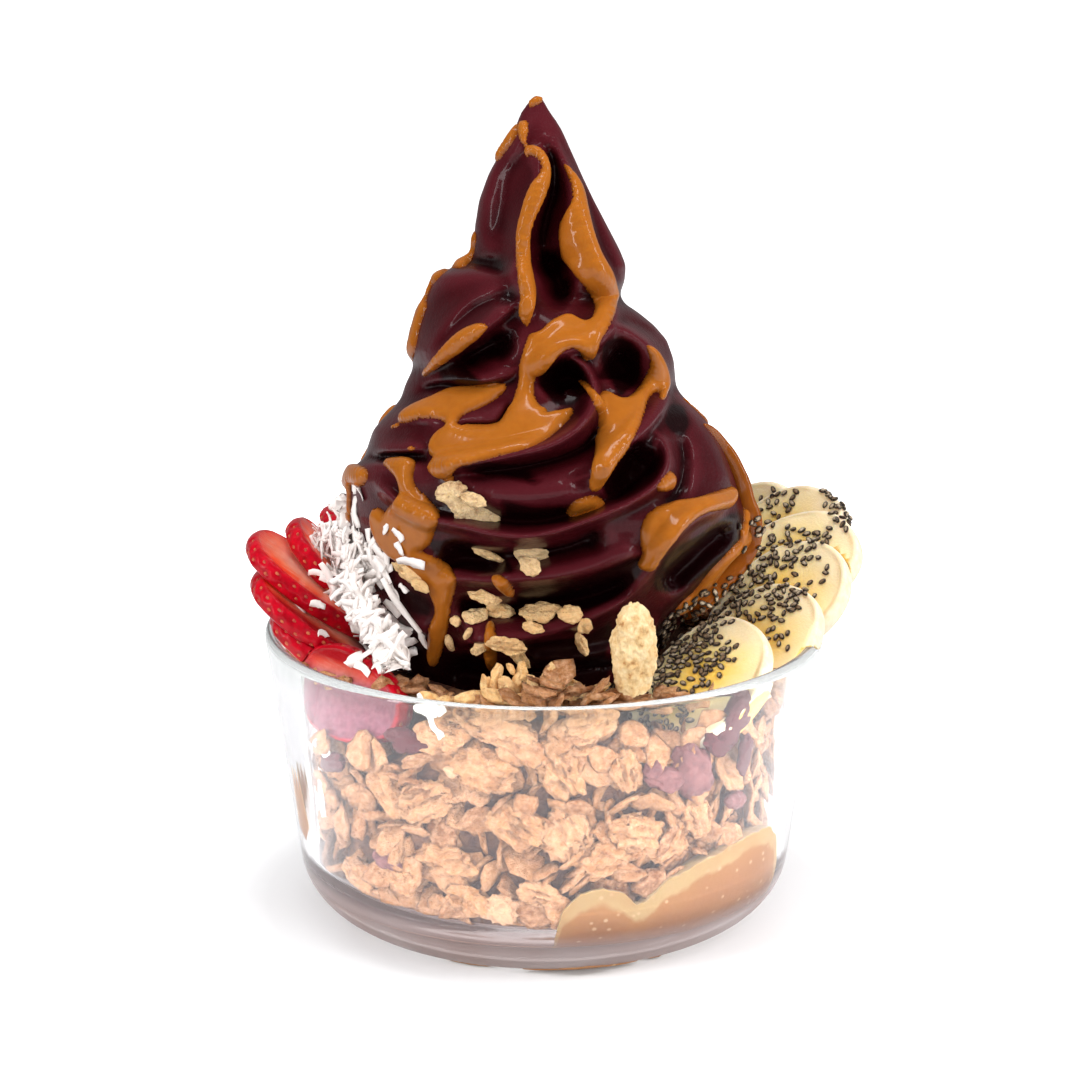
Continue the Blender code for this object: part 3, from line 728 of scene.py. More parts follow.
def front_depth(px, py):
    """How far in front of the axis the swirl reaches at pixels, and where across it they lie, -1 to 1."""
    middle, half = outline_at(py)
    across = (px - middle) / half
    scale = FOCAL / (DISTANCE * FRONT_NEAR)
    round_off = np.sqrt(np.clip(1 - across**2, 0, 1))
    depth = half / scale * FRONT_FULL * round_off + fold_relief(px, py) * np.sqrt(round_off)
    return depth, across


def front_body(first):
    """Points and faces of the swirl's front: a closed body between its folded face and its middle."""
    rows = np.linspace(TOP_ROW, END_ROW, FRONT_ROWS)
    across = np.sin(np.linspace(-math.pi / 2, math.pi / 2, FRONT_COLUMNS))
    py = np.repeat(rows[:, None], len(across), 1)
    middle, half = outline_at(py)
    px = middle + half * across[None, :]
    depth = front_depth(px.ravel(), py.ravel())[0].reshape(px.shape)
    front = at_depth(px, py, -depth)
    rear = at_depth(px, py, half / SWIRL_SCALE * REAR_FULL * np.sqrt(1 - across**2)[None, :])
    ring = np.concatenate([front, rear[:, -2:0:-1]], 1)
    return ring.reshape(-1, 3), ring_faces(len(rows), ring.shape[1], first)


def behind_front(points):
    """The piped rope kept inside the photograph's outline and behind the folded front."""
    pixels, deep = to_pixels(points)
    px, py = pixels.T
    middle, half = outline_at(py)
    half = half * ROPE_INSIDE
    px = middle + np.clip((px - middle) / half, -1, 1) * half
    depth = front_depth(px, py)[0]
    moved = EYE + ways_through(px, py) * (deep / FOCAL)[:, None]
    inside = at_depth(px, py, np.maximum(moved[:, 1], ROPE_BEHIND - depth))
    return np.where((py < END_ROW)[:, None], inside, points)


points, faces = rope()
points = behind_front(points)
more, more_faces = front_body(len(points))
points = np.concatenate([points, more])
faces += more_faces
mesh = evaluated(plain_mesh("rope", points, faces),
                 ("REMESH", {"mode": "VOXEL", "voxel_size": SWIRL_VOXEL * MM}),
                 ("SMOOTH", {"factor": 0.5, "iterations": 2}))
SWIRL = points_of(mesh)
SWIRL_TRI = triangles_of(mesh)
# what the remesh and the smoothing blunted goes back to the folded front
pixels, _ = to_pixels(SWIRL)
depth, across = front_depth(*pixels.T)
exact = at_depth(pixels[:, 0], pixels[:, 1], -depth)
near = (np.abs(exact[:, 1] - SWIRL[:, 1]) < 2.2) & (np.abs(across) < 0.97)
near &= (pixels[:, 1] > TOP_ROW + 7) & (pixels[:, 1] < END_ROW - 6)
SWIRL[near] = exact[near]
SWIRL = relaxed(SWIRL, edges_of(SWIRL_TRI), 1, 0.35)
# the foot keeps to its seat in the granola
radius = np.hypot(SWIRL[:, 0], SWIRL[:, 1])
seat = np.interp(SWIRL[:, 2], [z for r, z in SEAT], [r for r, z in SEAT])
shrink = np.where(radius > seat, seat / np.maximum(radius, 1e-6), 1.0)
SWIRL[:, :2] *= shrink[:, None]
SWIRL_NORMAL = vertex_normals(SWIRL, SWIRL_TRI)
if (SWIRL_NORMAL * (SWIRL - SWIRL.mean(0))).sum() < 0:
    SWIRL_TRI = SWIRL_TRI[:, ::-1].copy()
    SWIRL_NORMAL = -SWIRL_NORMAL

SWIRL_EDGES = edges_of(SWIRL_TRI)
SWIRL_HOLLOW = ((relaxed(SWIRL, SWIRL_EDGES, 60) - SWIRL) * SWIRL_NORMAL).sum(1)
SWIRL_HOLLOW = relaxed(SWIRL_HOLLOW, SWIRL_EDGES, 4)
acai, tree, shader = new_material("acai", Roughness=0.4, Specular_IOR_Level=0.11, Coat_Weight=0.30,
                                  Coat_Roughness=0.10, Coat_IOR=1.4, Specular_Tint=(1.0, 0.70, 0.76))
where = place(tree)
streak = grain(tree, where, 90.0, 4.0)
ice = grain(tree, where, 1500.0, 3.0, 0.7)
colour = ramp(tree, streak, (0.25, (0.024, 0.0013, 0.0026)), (0.75, (0.044, 0.0026, 0.0047)))
colour = mixed(tree, times(tree, ice, 0.3), colour, (0.075, 0.007, 0.011))
# painted light and shade: ridges and traced lips are painted lighter as a highlight, and hollows, caves and
# the foot near black as shade
hollow = carried(tree, "hollow")
colour = mixed(tree, ramp(tree, hollow, (0.30, 0.7), (0.48, 0.0)), colour, (0.085, 0.010, 0.015))
hollow_shade = ramp(tree, hollow, (0.52, 0.0), (0.80, 0.93))
paint(tree, shader, mixed(tree, hollow_shade, colour, (0.004, 0.0003, 0.0005)))
patch = grain(tree, where, 55.0, 2.0)
tree.links.new(ramp(tree, patch, (0.3, 0.34), (0.7, 0.46)), shader.inputs["Roughness"])
soft = bumped(tree, None, grain(tree, where, 260.0, 4.0), 0.0006, 0.5)
bumped(tree, shader, ice, 0.00022, 0.55, soft)

# painted shade in the deep hollows and painted highlights on the lips between them, in pixels of the
# photograph
SHADED_CAVES = [
    ([(540, 375), (560, 365), (576, 359), (582, 372), (583, 385), (580, 398), (571, 406), (554, 404),
      (541, 387)], 1.0),
    ([(606, 341), (619, 337), (632, 343), (641, 354), (639, 372), (630, 387), (619, 398), (613, 383),
      (602, 363), (602, 350)], 1.0),
    ([(602, 485), (619, 461), (636, 441), (652, 439), (654, 452), (650, 465), (636, 480), (621, 491),
      (608, 496)], 1.0),
    ([(452, 466), (489, 461), (519, 466), (532, 475), (541, 486), (519, 479), (489, 470), (467, 469)], 0.9),
    ([(502, 500), (532, 507), (567, 507), (589, 511), (600, 505), (598, 515), (576, 521), (550, 523),
      (508, 521)], 0.95),
    ([(427, 541), (452, 539), (473, 543), (491, 552), (510, 563), (515, 574), (502, 572), (473, 571),
      (452, 568), (434, 554)], 1.0),
    ([(515, 602), (519, 590), (554, 584), (586, 579), (610, 569), (630, 559), (641, 556), (644, 567),
      (634, 583), (623, 593), (606, 602), (586, 611), (571, 607), (549, 603), (532, 605)], 1.0),
    ([(656, 567), (673, 550), (695, 537), (715, 524), (730, 513), (742, 512), (748, 528), (742, 546),
      (728, 560), (706, 574), (688, 584), (670, 592), (654, 590)], 1.0),
    ([(530, 644), (565, 640), (589, 637), (606, 626), (612, 622), (608, 640), (605, 662), (589, 666),
      (565, 672), (545, 668), (530, 660)], 1.0),
    ([(400, 640), (426, 650), (445, 652), (476, 655), (486, 665), (486, 700), (395, 700), (396, 665)], 1.0),
    ([(441, 365), (458, 360), (473, 374), (484, 382), (502, 381), (515, 378), (517, 382), (484, 387),
      (441, 381)], 0.9),
    ([(482, 350), (502, 332), (519, 324), (520, 339), (515, 354), (502, 362), (484, 359)], 0.55),
    ([(665, 422), (671, 404), (684, 406), (690, 422), (684, 437), (671, 432)], 0.9),
    ([(380, 451), (402, 453), (428, 458), (430, 463), (402, 462), (380, 461)], 0.8),
    ([(660, 610), (680, 590), (700, 572), (722, 556), (716, 570), (696, 592), (676, 616), (662, 640),
      (654, 640)], 0.5),
    ([(519, 672), (560, 668), (606, 664), (606, 690), (519, 690)], 1.0),
    ([(392, 585), (420, 590), (434, 602), (430, 616), (410, 616), (396, 604)], 0.6),
]
HIGHLIT_LIPS = [
    [(615, 322), (631, 329), (643, 338), (656, 351), (664, 364)],
    [(571, 355), (583, 364), (591, 377), (597, 391), (591, 409), (574, 425), (552, 440), (522, 452),
     (498, 458)],
    [(454, 471), (480, 476), (502, 482), (532, 489), (562, 484), (588, 475)],
    [(655, 431), (667, 441), (673, 462), (665, 479), (637, 495), (602, 512), (560, 531), (521, 538),
     (492, 534), (440, 521)],
    [(676, 394), (706, 422), (727, 452), (734, 484)],
    [(440, 529), (480, 538), (512, 545)],
    [(519, 577), (567, 575), (597, 567), (640, 553)],
    [(589, 616), (619, 597), (640, 580), (662, 563)],
    [(480, 384), (500, 372), (517, 368)],
    [(646, 552), (668, 534), (700, 518), (728, 508)],
    [(530, 641), (560, 637), (584, 634)],
]
CAVE_SHADE_LEVEL = 0.95            # how dark a cave's painted shade is; 0.5 is plain
CAVE_BLUR = 2.2             # pixels to either side of a cave's outline in which it fades
LIP_HIGHLIGHT_LEVEL = 0.24
LIP_HIGHLIGHT_SHARE = 0.75            # how much of that painted highlight a lip gets
LIP_HALF = 2.3              # pixels
FOOT_SHADE = 0.16           # painted shade: how much darker the foot is painted
FOOT_LEVEL = 80.0           # mm; it begins here, and is full FOOT_FADE lower
FOOT_FADE = 16.0


def painted_shade_and_highlights():
    """How dark each point of the swirl is painted: painted shade by how deep in a hollow it lies as
    measured, low on the foot and in the traced caves, and painted highlights on the traced lips.
    """
    flat, _ = to_pixels(SWIRL)
    front = np.clip(((EYE - SWIRL) * SWIRL_NORMAL).sum(1) / DISTANCE * 6.0, 0, 1)
    # the foot is painted darker, as shade
    painted_foot_shade = np.clip((FOOT_LEVEL - SWIRL[:, 2]) / FOOT_FADE, 0, 1) * FOOT_SHADE
    value = np.clip(0.5 + SWIRL_HOLLOW * 0.45 + painted_foot_shade, 0, 1)
    shifts = (-CAVE_BLUR, 0.0, CAVE_BLUR)
    jitter = [(x, y) for x in shifts for y in shifts]
    # painted shade inside the traced caves
    for outline, weight in SHADED_CAVES:
        outline = np.array(outline, float)
        low, high = outline.min(0) - 4, outline.max(0) + 4
        near = np.flatnonzero(((flat > low) & (flat < high)).all(1) & (front > 0))
        inside = sum(within(flat[near] + step, outline).astype(float) for step in jitter) / len(jitter)
        value[near] += (CAVE_SHADE_LEVEL - value[near]) * inside * weight * front[near]
    # painted highlights along the traced lips
    for line in HIGHLIT_LIPS:
        line = np.array(line, float)
        low, high = line.min(0) - 8, line.max(0) + 8
        near = np.flatnonzero(((flat > low) & (flat < high)).all(1) & (front > 0))
        apart = np.full(len(near), 1e9)
        for a, b in zip(line[:-1], line[1:]):
            along_line = np.clip(((flat[near] - a) @ (b - a)) / ((b - a) @ (b - a)), 0, 1)[:, None]
            apart = np.minimum(apart, np.linalg.norm(flat[near] - a - along_line * (b - a), axis=1))
        lip_highlight = (LIP_HIGHLIGHT_LEVEL - value[near]) * np.exp(-(apart / LIP_HALF)**2) * LIP_HIGHLIGHT_SHARE
        value[near] += lip_highlight * front[near]
    return value


swirl = mesh_piece("acai_swirl_shape", SWIRL, SWIRL_TRI, acai, "acai")
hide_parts("acai_swirl")
SWIRL_TREE = BVHTree.FromPolygons(SWIRL.tolist(), SWIRL_TRI.tolist())


def on_swirl(px, py):
    """Where a photograph's pixel lands on the swirl, and the pixels per mm there."""
    way = pixel_ray(px, py)
    hit = SWIRL_TREE.ray_cast(Vector(EYE), Vector(way))[0]
    if hit is None:
        return None, None
    hit = np.array(hit)
    return hit, pixels_per_mm(hit)


# ---------------------------------------------------------------- sauce on the swirl
# outlines of the sauce on the swirl's front, in pixels of the photograph
SAUCE_AREAS = [
    [(528, 103), (534, 98), (542, 96), (543, 102), (536, 105), (530, 108)],
    [(519, 122), (527, 120), (530, 126), (527, 135), (526, 142), (529, 147), (523, 146), (519, 138)],
    [(519, 124), (512, 132), (505, 142), (498, 151), (493, 161), (499, 161), (505, 152), (512, 143),
     (517, 135)],
    [(523, 150), (527, 146), (534, 145), (541, 149), (545, 156), (548, 166), (548, 178), (546, 187),
     (542, 198), (537, 210), (532, 222), (528, 236), (527, 250), (529, 266), (532, 280), (534, 293),
     (533, 305), (531, 318), (528, 328), (523, 324), (519, 316), (519, 306), (521, 298), (519, 288),
     (517, 272), (516, 255), (517, 240), (519, 226), (523, 212), (526, 200), (530, 190), (534, 181),
     (541, 173), (541, 163), (537, 157), (531, 155), (527, 158)],
    [(563, 163), (568, 166), (576, 178), (582, 191), (585, 206), (589, 224), (594, 241), (601, 258),
     (610, 272), (615, 286), (617, 297), (616, 309), (612, 321), (606, 332), (600, 341), (597, 350),
     (595, 357), (590, 361), (584, 359), (581, 353), (577, 349), (571, 348), (564, 351), (556, 358),
     (549, 365), (543, 372), (536, 377), (519, 374), (519, 365), (522, 355), (526, 342), (530, 333),
     (540, 332), (548, 323), (556, 318), (564, 314), (571, 314), (577, 318), (583, 321), (590, 323),
     (594, 315), (596, 305), (591, 295), (584, 286), (577, 277), (569, 266), (562, 254), (560, 242),
     (560, 230), (563, 220), (568, 211), (572, 203), (573, 194), (571, 183), (566, 172)],
    [(520, 366), (536, 370), (535, 380), (533, 390), (536, 401), (541, 407), (548, 409), (545, 420),
     (520, 430), (500, 427), (507, 417), (512, 405), (516, 392), (519, 380)],
    [(421, 375), (427, 366), (436, 355), (447, 344), (459, 333), (471, 326), (483, 323), (489, 327),
     (481, 335), (470, 343), (458, 352), (447, 360), (436, 369), (425, 377)],
    [(475, 228), (467, 236), (456, 243), (446, 248), (438, 256), (432, 264), (428, 274), (426, 288),
     (433, 284), (440, 276), (447, 270), (452, 267), (458, 268), (466, 266), (472, 259), (474, 250),
     (476, 240)],
    [(426, 298), (420, 306), (413, 322), (407, 340), (402, 358), (398, 376), (406, 377), (411, 366),
     (415, 350), (418, 332), (423, 316), (427, 306)],
    [(397, 420), (404, 412), (415, 405), (430, 398), (446, 391), (462, 387), (480, 385), (498, 383),
     (508, 384), (505, 391), (497, 398), (488, 404), (477, 409), (466, 413), (459, 418), (457, 426),
     (448, 426), (444, 421), (434, 418), (424, 418), (414, 420), (404, 424)],
    [(429, 453), (429, 443), (434, 434), (443, 427), (455, 424), (475, 427), (492, 427), (502, 424),
     (515, 420), (530, 418), (545, 415), (553, 411), (562, 411), (572, 407), (574, 411), (569, 419),
     (561, 427), (551, 436), (539, 443), (525, 449), (510, 453), (495, 457), (480, 461), (466, 465),
     (455, 468), (452, 475), (456, 484), (449, 485), (442, 478), (433, 475), (427, 470), (431, 464),
     (436, 460)],
    [(646, 344), (652, 347), (659, 355), (665, 366), (668, 380), (668, 392), (664, 401), (659, 398),
     (660, 391), (654, 392), (648, 398), (645, 410), (640, 425), (633, 440), (622, 454), (612, 467),
     (604, 480), (598, 491), (592, 492), (588, 486), (591, 476), (594, 460), (597, 440), (599, 420),
     (600, 402), (600, 393), (606, 390), (612, 394), (622, 400), (632, 395), (641, 385), (648, 372),
     (651, 360), (648, 352)],
    [(576, 379), (584, 381), (592, 387), (598, 395), (601, 405), (599, 415), (594, 405), (590, 395),
     (585, 388)],
    [(566, 513), (570, 505), (578, 499), (588, 496), (598, 496), (606, 503), (600, 508), (590, 511),
     (580, 515), (570, 517)],
    [(655, 489), (663, 478), (671, 469), (675, 480), (671, 490), (662, 492)],
    [(734, 486), (736, 500), (731, 508), (720, 510), (708, 512), (698, 517), (688, 525), (678, 536),
     (668, 548), (660, 559), (655, 569), (648, 572), (640, 569), (637, 563), (643, 556), (641, 545),
     (640, 530), (645, 517), (655, 507), (668, 503), (685, 500), (700, 497), (715, 492), (727, 488)],
    [(752, 500), (762, 522), (757, 536), (744, 547), (732, 557), (724, 566), (716, 577), (706, 590),
     (695, 602), (684, 612), (672, 616), (680, 604), (692, 594), (700, 584), (708, 574), (718, 563),
     (730, 550), (742, 538), (749, 524), (744, 512)],
    [(382, 462), (390, 460), (400, 459), (412, 459), (417, 462), (413, 471), (413, 481), (417, 489),
     (426, 496), (434, 505), (440, 512), (438, 523), (434, 533), (432, 542), (424, 550), (412, 552),
     (402, 550), (394, 542), (386, 532), (384, 518), (388, 508), (396, 500), (400, 492), (399, 481),
     (393, 473), (386, 467)],
    [(371, 510), (379, 507), (386, 514), (389, 528), (396, 540), (406, 546), (420, 551), (432, 556),
     (446, 562), (453, 570), (457, 580), (455, 591), (451, 603), (450, 613), (449, 622), (447, 632),
     (444, 645), (440, 658), (435, 668), (429, 664), (427, 655), (428, 640), (428, 628), (433, 618),
     (436, 610), (433, 600), (429, 590), (421, 577), (411, 567), (398, 562), (387, 554), (378, 542),
     (372, 527)],
    [(343, 472), (351, 463), (359, 465), (368, 469), (368, 479), (361, 489), (353, 484), (346, 490),
     (347, 505), (351, 520), (347, 528), (341, 515), (340, 495)],
    [(489, 577), (499, 574), (508, 580), (515, 590), (513, 598), (506, 595), (497, 588)],
    [(486, 622), (494, 620), (497, 640), (497, 662), (493, 672), (487, 668), (483, 652)],
    [(407, 447), (415, 446), (414, 451), (408, 450)],
    [(389, 427), (398, 423), (400, 426), (393, 429)],
]
# where it runs round the edges that the photograph shows, each (x, y, half-width) in its pixels
STROKES = [
    [(474, 234, 4), (466, 240, 7), (456, 247, 8), (446, 254, 8), (438, 264, 7), (432, 277, 5)],
    [(430, 288, 4), (424, 304, 4), (417, 325, 4), (412, 346, 4), (408, 364, 4)],
    [(517, 126, 3), (507, 142, 3), (499, 156, 2.5)],
    [(684, 399, 2.5), (702, 416, 3), (717, 436, 4), (729, 460, 5), (737, 482, 6), (743, 503, 7),
     (745, 520, 7), (742, 534, 7)],
    [(352, 466, 5), (350, 478, 6), (350, 492, 5), (350, 510, 5)],
]
# on the sides that the photograph doesn't show: azimuth in degrees from the right side, height and
# half-width in mm
HIDDEN_STROKES = [
    [(60, 166, 1.2), (64, 156, 1.7), (70, 146, 2.4), (76, 136, 2.8), (80, 128, 2.0)],
    [(70, 132, 2.2), (78, 124, 2.8), (90, 120, 2.6), (104, 117, 1.8)],
    [(110, 150, 1.4), (114, 140, 2.0), (118, 131, 2.6), (121, 122, 2.0), (122, 114, 1.4)],
    [(150, 128, 1.8), (156, 120, 2.6), (164, 111, 2.8), (170, 103, 2.2), (172, 96, 1.6)],
    [(36, 118, 1.8), (30, 108, 2.6), (26, 100, 2.8), (24, 92, 2.0), (22, 85, 1.6)],
    [(84, 104, 2.0), (92, 97, 2.8), (96, 90, 2.4), (98, 82, 1.8)],
    [(124, 98, 2.4), (132, 90, 3.0), (138, 82, 2.4), (140, 74, 1.6)],
    [(52, 88, 1.6), (56, 80, 2.4), (58, 73, 1.8)],
]
SAUCE_THICK = 1.55


def seen(points, normals, tree, slack=0.6):
    """Which points the photograph's eye sees."""
    result = np.zeros(len(points), bool)
    eye = Vector(EYE)
    for i in np.nonzero(((points - EYE) * normals).sum(1) < 0)[0]:
        way = Vector(points[i]) - eye
        distance = tree.ray_cast(eye, way)[3]
        result[i] = distance is None or distance > way.length - slack
    return result


def eased_outline(outline):
    """A closed outline with its corners cut twice."""
    outline = np.array(outline, float)
    for _ in range(2):
        ahead = np.roll(outline, -1, 0)
        outline = np.stack([0.75 * outline + 0.25 * ahead, 0.25 * outline + 0.75 * ahead], 1).reshape(-1, 2)
    return outline


def within(spots, outline):
    """Which spots lie inside a closed outline."""
    result = np.zeros(len(spots), bool)
    low = outline.min(0)
    high = outline.max(0)
    index = np.nonzero((spots >= low).all(1) & (spots <= high).all(1))[0]
    x, y = spots[index].T[:, :, None]
    ax, ay = outline.T
    bx, by = np.roll(outline, -1, 0).T
    crosses = ((ay > y) != (by > y)) & (x < (bx - ax) * (y - ay) / np.where(by == ay, 1e-9, by - ay) + ax)
    result[index] = crosses.sum(1) % 2 == 1
    return result


# the painted shade and highlights reach the acai's colour through this attribute
put_attribute(swirl.data, "hollow", painted_shade_and_highlights())
swirl.modifiers.new("fewer", "DECIMATE").ratio = 0.5
SAUCE_OUTLINES = [eased_outline(area) for area in SAUCE_AREAS]
SAUCE_ROUND = 1.25          # how far in from its edge the sauce rises, mm


def point_tree(points):
    """A tree that finds the points nearest to a place."""
    tree = KDTree(len(points))
    for i, point in enumerate(points):
        tree.insert(point, i)
    tree.balance()
    return tree


def area_field(pixels, deep, visible):
    """The sauce's field by its outlines: 1 well inside, 0 at the edge, less outside."""
    spots = []
    for k, outline in enumerate(SAUCE_OUTLINES):
        closed = np.concatenate([outline, outline[:1]])
        run = run_of(closed)
        at = np.arange(0, run[-1], 1.0)
        edge = np.stack([np.interp(at, run, closed[:, axis]) for axis in (0, 1)], 1)
        for other, hole in enumerate(SAUCE_OUTLINES):
            if other != k:
                edge = edge[~within(edge, hole)]
        spots.append(edge)
    spots = np.concatenate(spots)
    tree = point_tree(np.pad(spots, ((0, 0), (0, 1))))
    inside = np.zeros(len(pixels), bool)
    near = np.zeros(len(pixels), bool)
    for outline in SAUCE_OUTLINES:
        inside |= within(pixels, outline)
        near |= (pixels > outline.min(0) - 8).all(1) & (pixels < outline.max(0) + 8).all(1)
    inside &= visible
    field = np.full(len(pixels), -1.0)
    for i in np.nonzero(near & visible)[0]:
        gap = tree.find((pixels[i, 0], pixels[i, 1], 0.0))[2] * deep[i] / FOCAL / SAUCE_ROUND
        field[i] = 1 - (1 - min(gap, 1.0))**2 if inside[i] else -gap
    return field


def stroke_balls():
    """Balls of sauce that sit on the swirl: centre and radius."""
    balls = []
    for stroke in STROKES:
        for px, py, half in along_stroke(stroke, 2.0):
            hit, scale = on_swirl(px, py)
            if hit is not None:
                balls.append((*hit, half / scale))
    for stroke in HIDDEN_STROKES:
        for azimuth, height, half in along_stroke(stroke, 0.5):
            a = math.radians(azimuth)
            start = Vector((90 * math.cos(a), 90 * math.sin(a), height))
            hit = SWIRL_TREE.ray_cast(start, Vector((-math.cos(a), -math.sin(a), 0)))[0]
            if hit is not None:
                balls.append((*hit, half))
    return balls


def sauce_field(points, normals, balls, reach=1.25):
    """1 in the middle of the sauce, 0 at its edge, less outside; and the half-width there.

    What the photograph sees is laid out in its pixels. Balls carry the sauce round the lips, and over
    the far side.
    """
    tree = point_tree(points)
    field = np.full(len(points), -1.0)
    size = np.zeros(len(points))
    for x, y, z, r in balls:
        for _, i, d in tree.find_range((x, y, z), r * reach):
            f = 1 - (d / r)**2
            if f > field[i]:
                field[i] = f
                size[i] = r
    pixels, deep = to_pixels(points)
    visible = seen(points, normals, SWIRL_TREE)
    drawn = area_field(pixels, deep, visible)
    better = drawn > field
    field[better] = drawn[better]
    size[better] = 2.0
    return field, size


def drizzle(name, balls, mat):
    """Sauce that follows the swirl's surface, thick in the middle and round at its edge."""
    # the swirl's surface near the sauce, made finer
    field, _ = sauce_field(SWIRL, SWIRL_NORMAL, balls)
    keep = (field[SWIRL_TRI] > -0.6).any(1)
    base, tri, (normal,) = compact(SWIRL, SWIRL_TRI[keep], (SWIRL_NORMAL,))
    base, tri, (normal,) = split_triangles(base, tri, (normal,))
    edges = edges_of(tri)
    field, size = sauce_field(base, normal, balls)
    field = relaxed(field, edges, 4)
    size = relaxed(size, edges, 12)
    normal = unit(relaxed(normal, edges, 10))
    keep = (field[tri] > -0.12).all(1)
    base, tri, (normal, field, size) = compact(base, tri[keep], (normal, field, size))
    edges = edges_of(tri)
    thick = np.clip(0.25 + 0.72 * size, 0.6, SAUCE_THICK)
    lift = thick * np.sqrt(np.clip(field, 0, 1)) * 1.05
    top = base + normal * (lift - 0.18 * (1 - np.clip(field * 12, 0, 1)))[:, None]
    # the top is eased over the folds, but keeps off the swirl
    loose = np.clip(field * 3, 0, 1)[:, None]
    for _ in range(14):
        moved = relaxed(top, edges, 1, 0.6)
        top += (moved - top) * loose
        rise = ((top - base) * normal).sum(1)
        short = np.maximum(0.45 * lift - rise, 0)
        top += normal * short[:, None]
    # an underside in the swirl, and a wall along the open edge
    under = base - normal * 0.5
    half = sides_of(tri)
    code = half[:, 0].astype(np.int64) * len(base) + half[:, 1]
    back = half[:, 1].astype(np.int64) * len(base) + half[:, 0]
    open_edges = half[~np.isin(code, back)]
    a = open_edges[:, 0]
    b = open_edges[:, 1]
    n = len(base)
    wall = np.concatenate([np.stack([b, a, a + n], 1), np.stack([b, a + n, b + n], 1)])
    all_tri = np.concatenate([tri, tri[:, ::-1] + n, wall])
    piece = mesh_piece(name, np.concatenate([top, under]), all_tri, mat, "peanut_sauce")
    put_attribute(piece.data, "depth", np.concatenate([lift, lift * 0]))
    piece.modifiers.new("fewer", "DECIMATE").ratio = 0.5
    return piece


sauce, tree, shader = new_material("peanut_sauce", Roughness=0.35, Specular_IOR_Level=0.08,
                                   Subsurface_Weight=0.15, Subsurface_Radius=(1.0, 0.45, 0.12),
                                   Subsurface_Scale=0.001, Coat_Weight=0.5, Coat_Roughness=0.10)
where = place(tree)
depth = carried(tree, "depth")
thin = ramp(tree, times(tree, depth, 0.7), (0.1, (0.205, 0.051, 0.004)), (0.75, (0.37, 0.113, 0.011)))
spots = ramp(tree, grain(tree, where, 420.0, 3.0), (0.35, 0.0), (0.75, 0.5))
paint(tree, shader, mixed(tree, spots, thin, (0.28, 0.079, 0.007)))
bumped(tree, shader, grain(tree, where, 320.0, 3.0), 0.0003, 0.25)
drips = drizzle("sauce_on_swirl", stroke_balls(), sauce)


# ---------------------------------------------------------------- glass bowl
BOWL_HEIGHT = 65.2
RIM_RADIUS = 63.0
WALL = 3.0                  # thickness
WALL_LEAN = 7.6             # degrees
OUTER_CORNER = 14.0         # radii of the rounds between wall and foot
INNER_CORNER = 10.0
FLOOR = 8.0                 # height of the inside's floor
LEAN = math.tan(math.radians(WALL_LEAN))


def wall_radius(height, inside=True):
    """Radius of the straight part of the wall at a height, mm."""
    return RIM_RADIUS - (BOWL_HEIGHT - height) * LEAN - (WALL if inside else 0.0)


def arc(centre, radius, start, end, count):
    """Points of an arc in a profile, angles in degrees."""
    turn = np.radians(np.linspace(start, end, count + 1))
    return [(centre[0] + radius * math.cos(a), centre[1] + radius * math.sin(a)) for a in turn]


def turned(profile, steps, capped=True):
    """Points and faces of a profile of (radius, height) turned about Z."""
    turn = np.linspace(0, 2 * math.pi, steps, endpoint=False)
    profile = np.array(profile, float)
    points = np.stack([profile[:, None, 0] * np.cos(turn), profile[:, None, 0] * np.sin(turn),
                       np.repeat(profile[:, None, 1], steps, 1)], -1).reshape(-1, 3)
    return points, ring_faces(len(profile), steps, capped=capped)


lip = WALL / 2
outer_mid = (wall_radius(OUTER_CORNER, False) - OUTER_CORNER, OUTER_CORNER)
inner_mid = (wall_radius(FLOOR + INNER_CORNER) - INNER_CORNER, FLOOR + INNER_CORNER)
profile = [(0.5, 0.25), (36.0, 0.25), (37.2, 0.0)]
profile += arc(outer_mid, OUTER_CORNER, -90, -WALL_LEAN, 14)
profile += arc((RIM_RADIUS - lip, BOWL_HEIGHT - lip), lip, -WALL_LEAN, 180 - WALL_LEAN, 12)
profile += arc(inner_mid, INNER_CORNER, -WALL_LEAN, -90, 12)
profile.append((0.5, FLOOR))
points, faces = turned(profile, 160)
glass, tree, shader = new_material("clear_glass", Roughness=0.0, IOR=1.47, Transmission_Weight=1.0,
                                   Sheen_Weight=0.06, Sheen_Roughness=0.9, Sheen_Tint=(0.86, 0.78, 0.92))
# tinted a little towards the foot, and greenish at the lip; the ramps' places are heights in tenths
# of a metre
high = times(tree, split(tree, place(tree))["Z"], 10.0)
paint(tree, shader, ramp(tree, high, (0.05, (0.76, 0.655, 0.64)), (0.12, (0.962, 0.945, 0.960)),
                         (0.58, (0.975, 0.965, 0.975)), (0.625, (0.74, 0.78, 0.74))))
rough = grain(tree, place(tree), 40.0, 2.0)
tree.links.new(ramp(tree, rough, (0.4, 0.0), (0.9, 0.03)), shader.inputs["Roughness"])
# the foot is cloudy with melted food
melted = ramp(tree, rough, (0.35, (0.60, 0.44, 0.41)), (0.65, (0.76, 0.64, 0.63)))
film = node(tree, "BsdfDiffuse", ("Color", melted))
cloudy = node(tree, "MixShader", (0, ramp(tree, high, (0.03, 0.60), (0.075, 0.52), (0.125, 0.0))),
              (1, shader.outputs["BSDF"]), (2, film.outputs["BSDF"]))
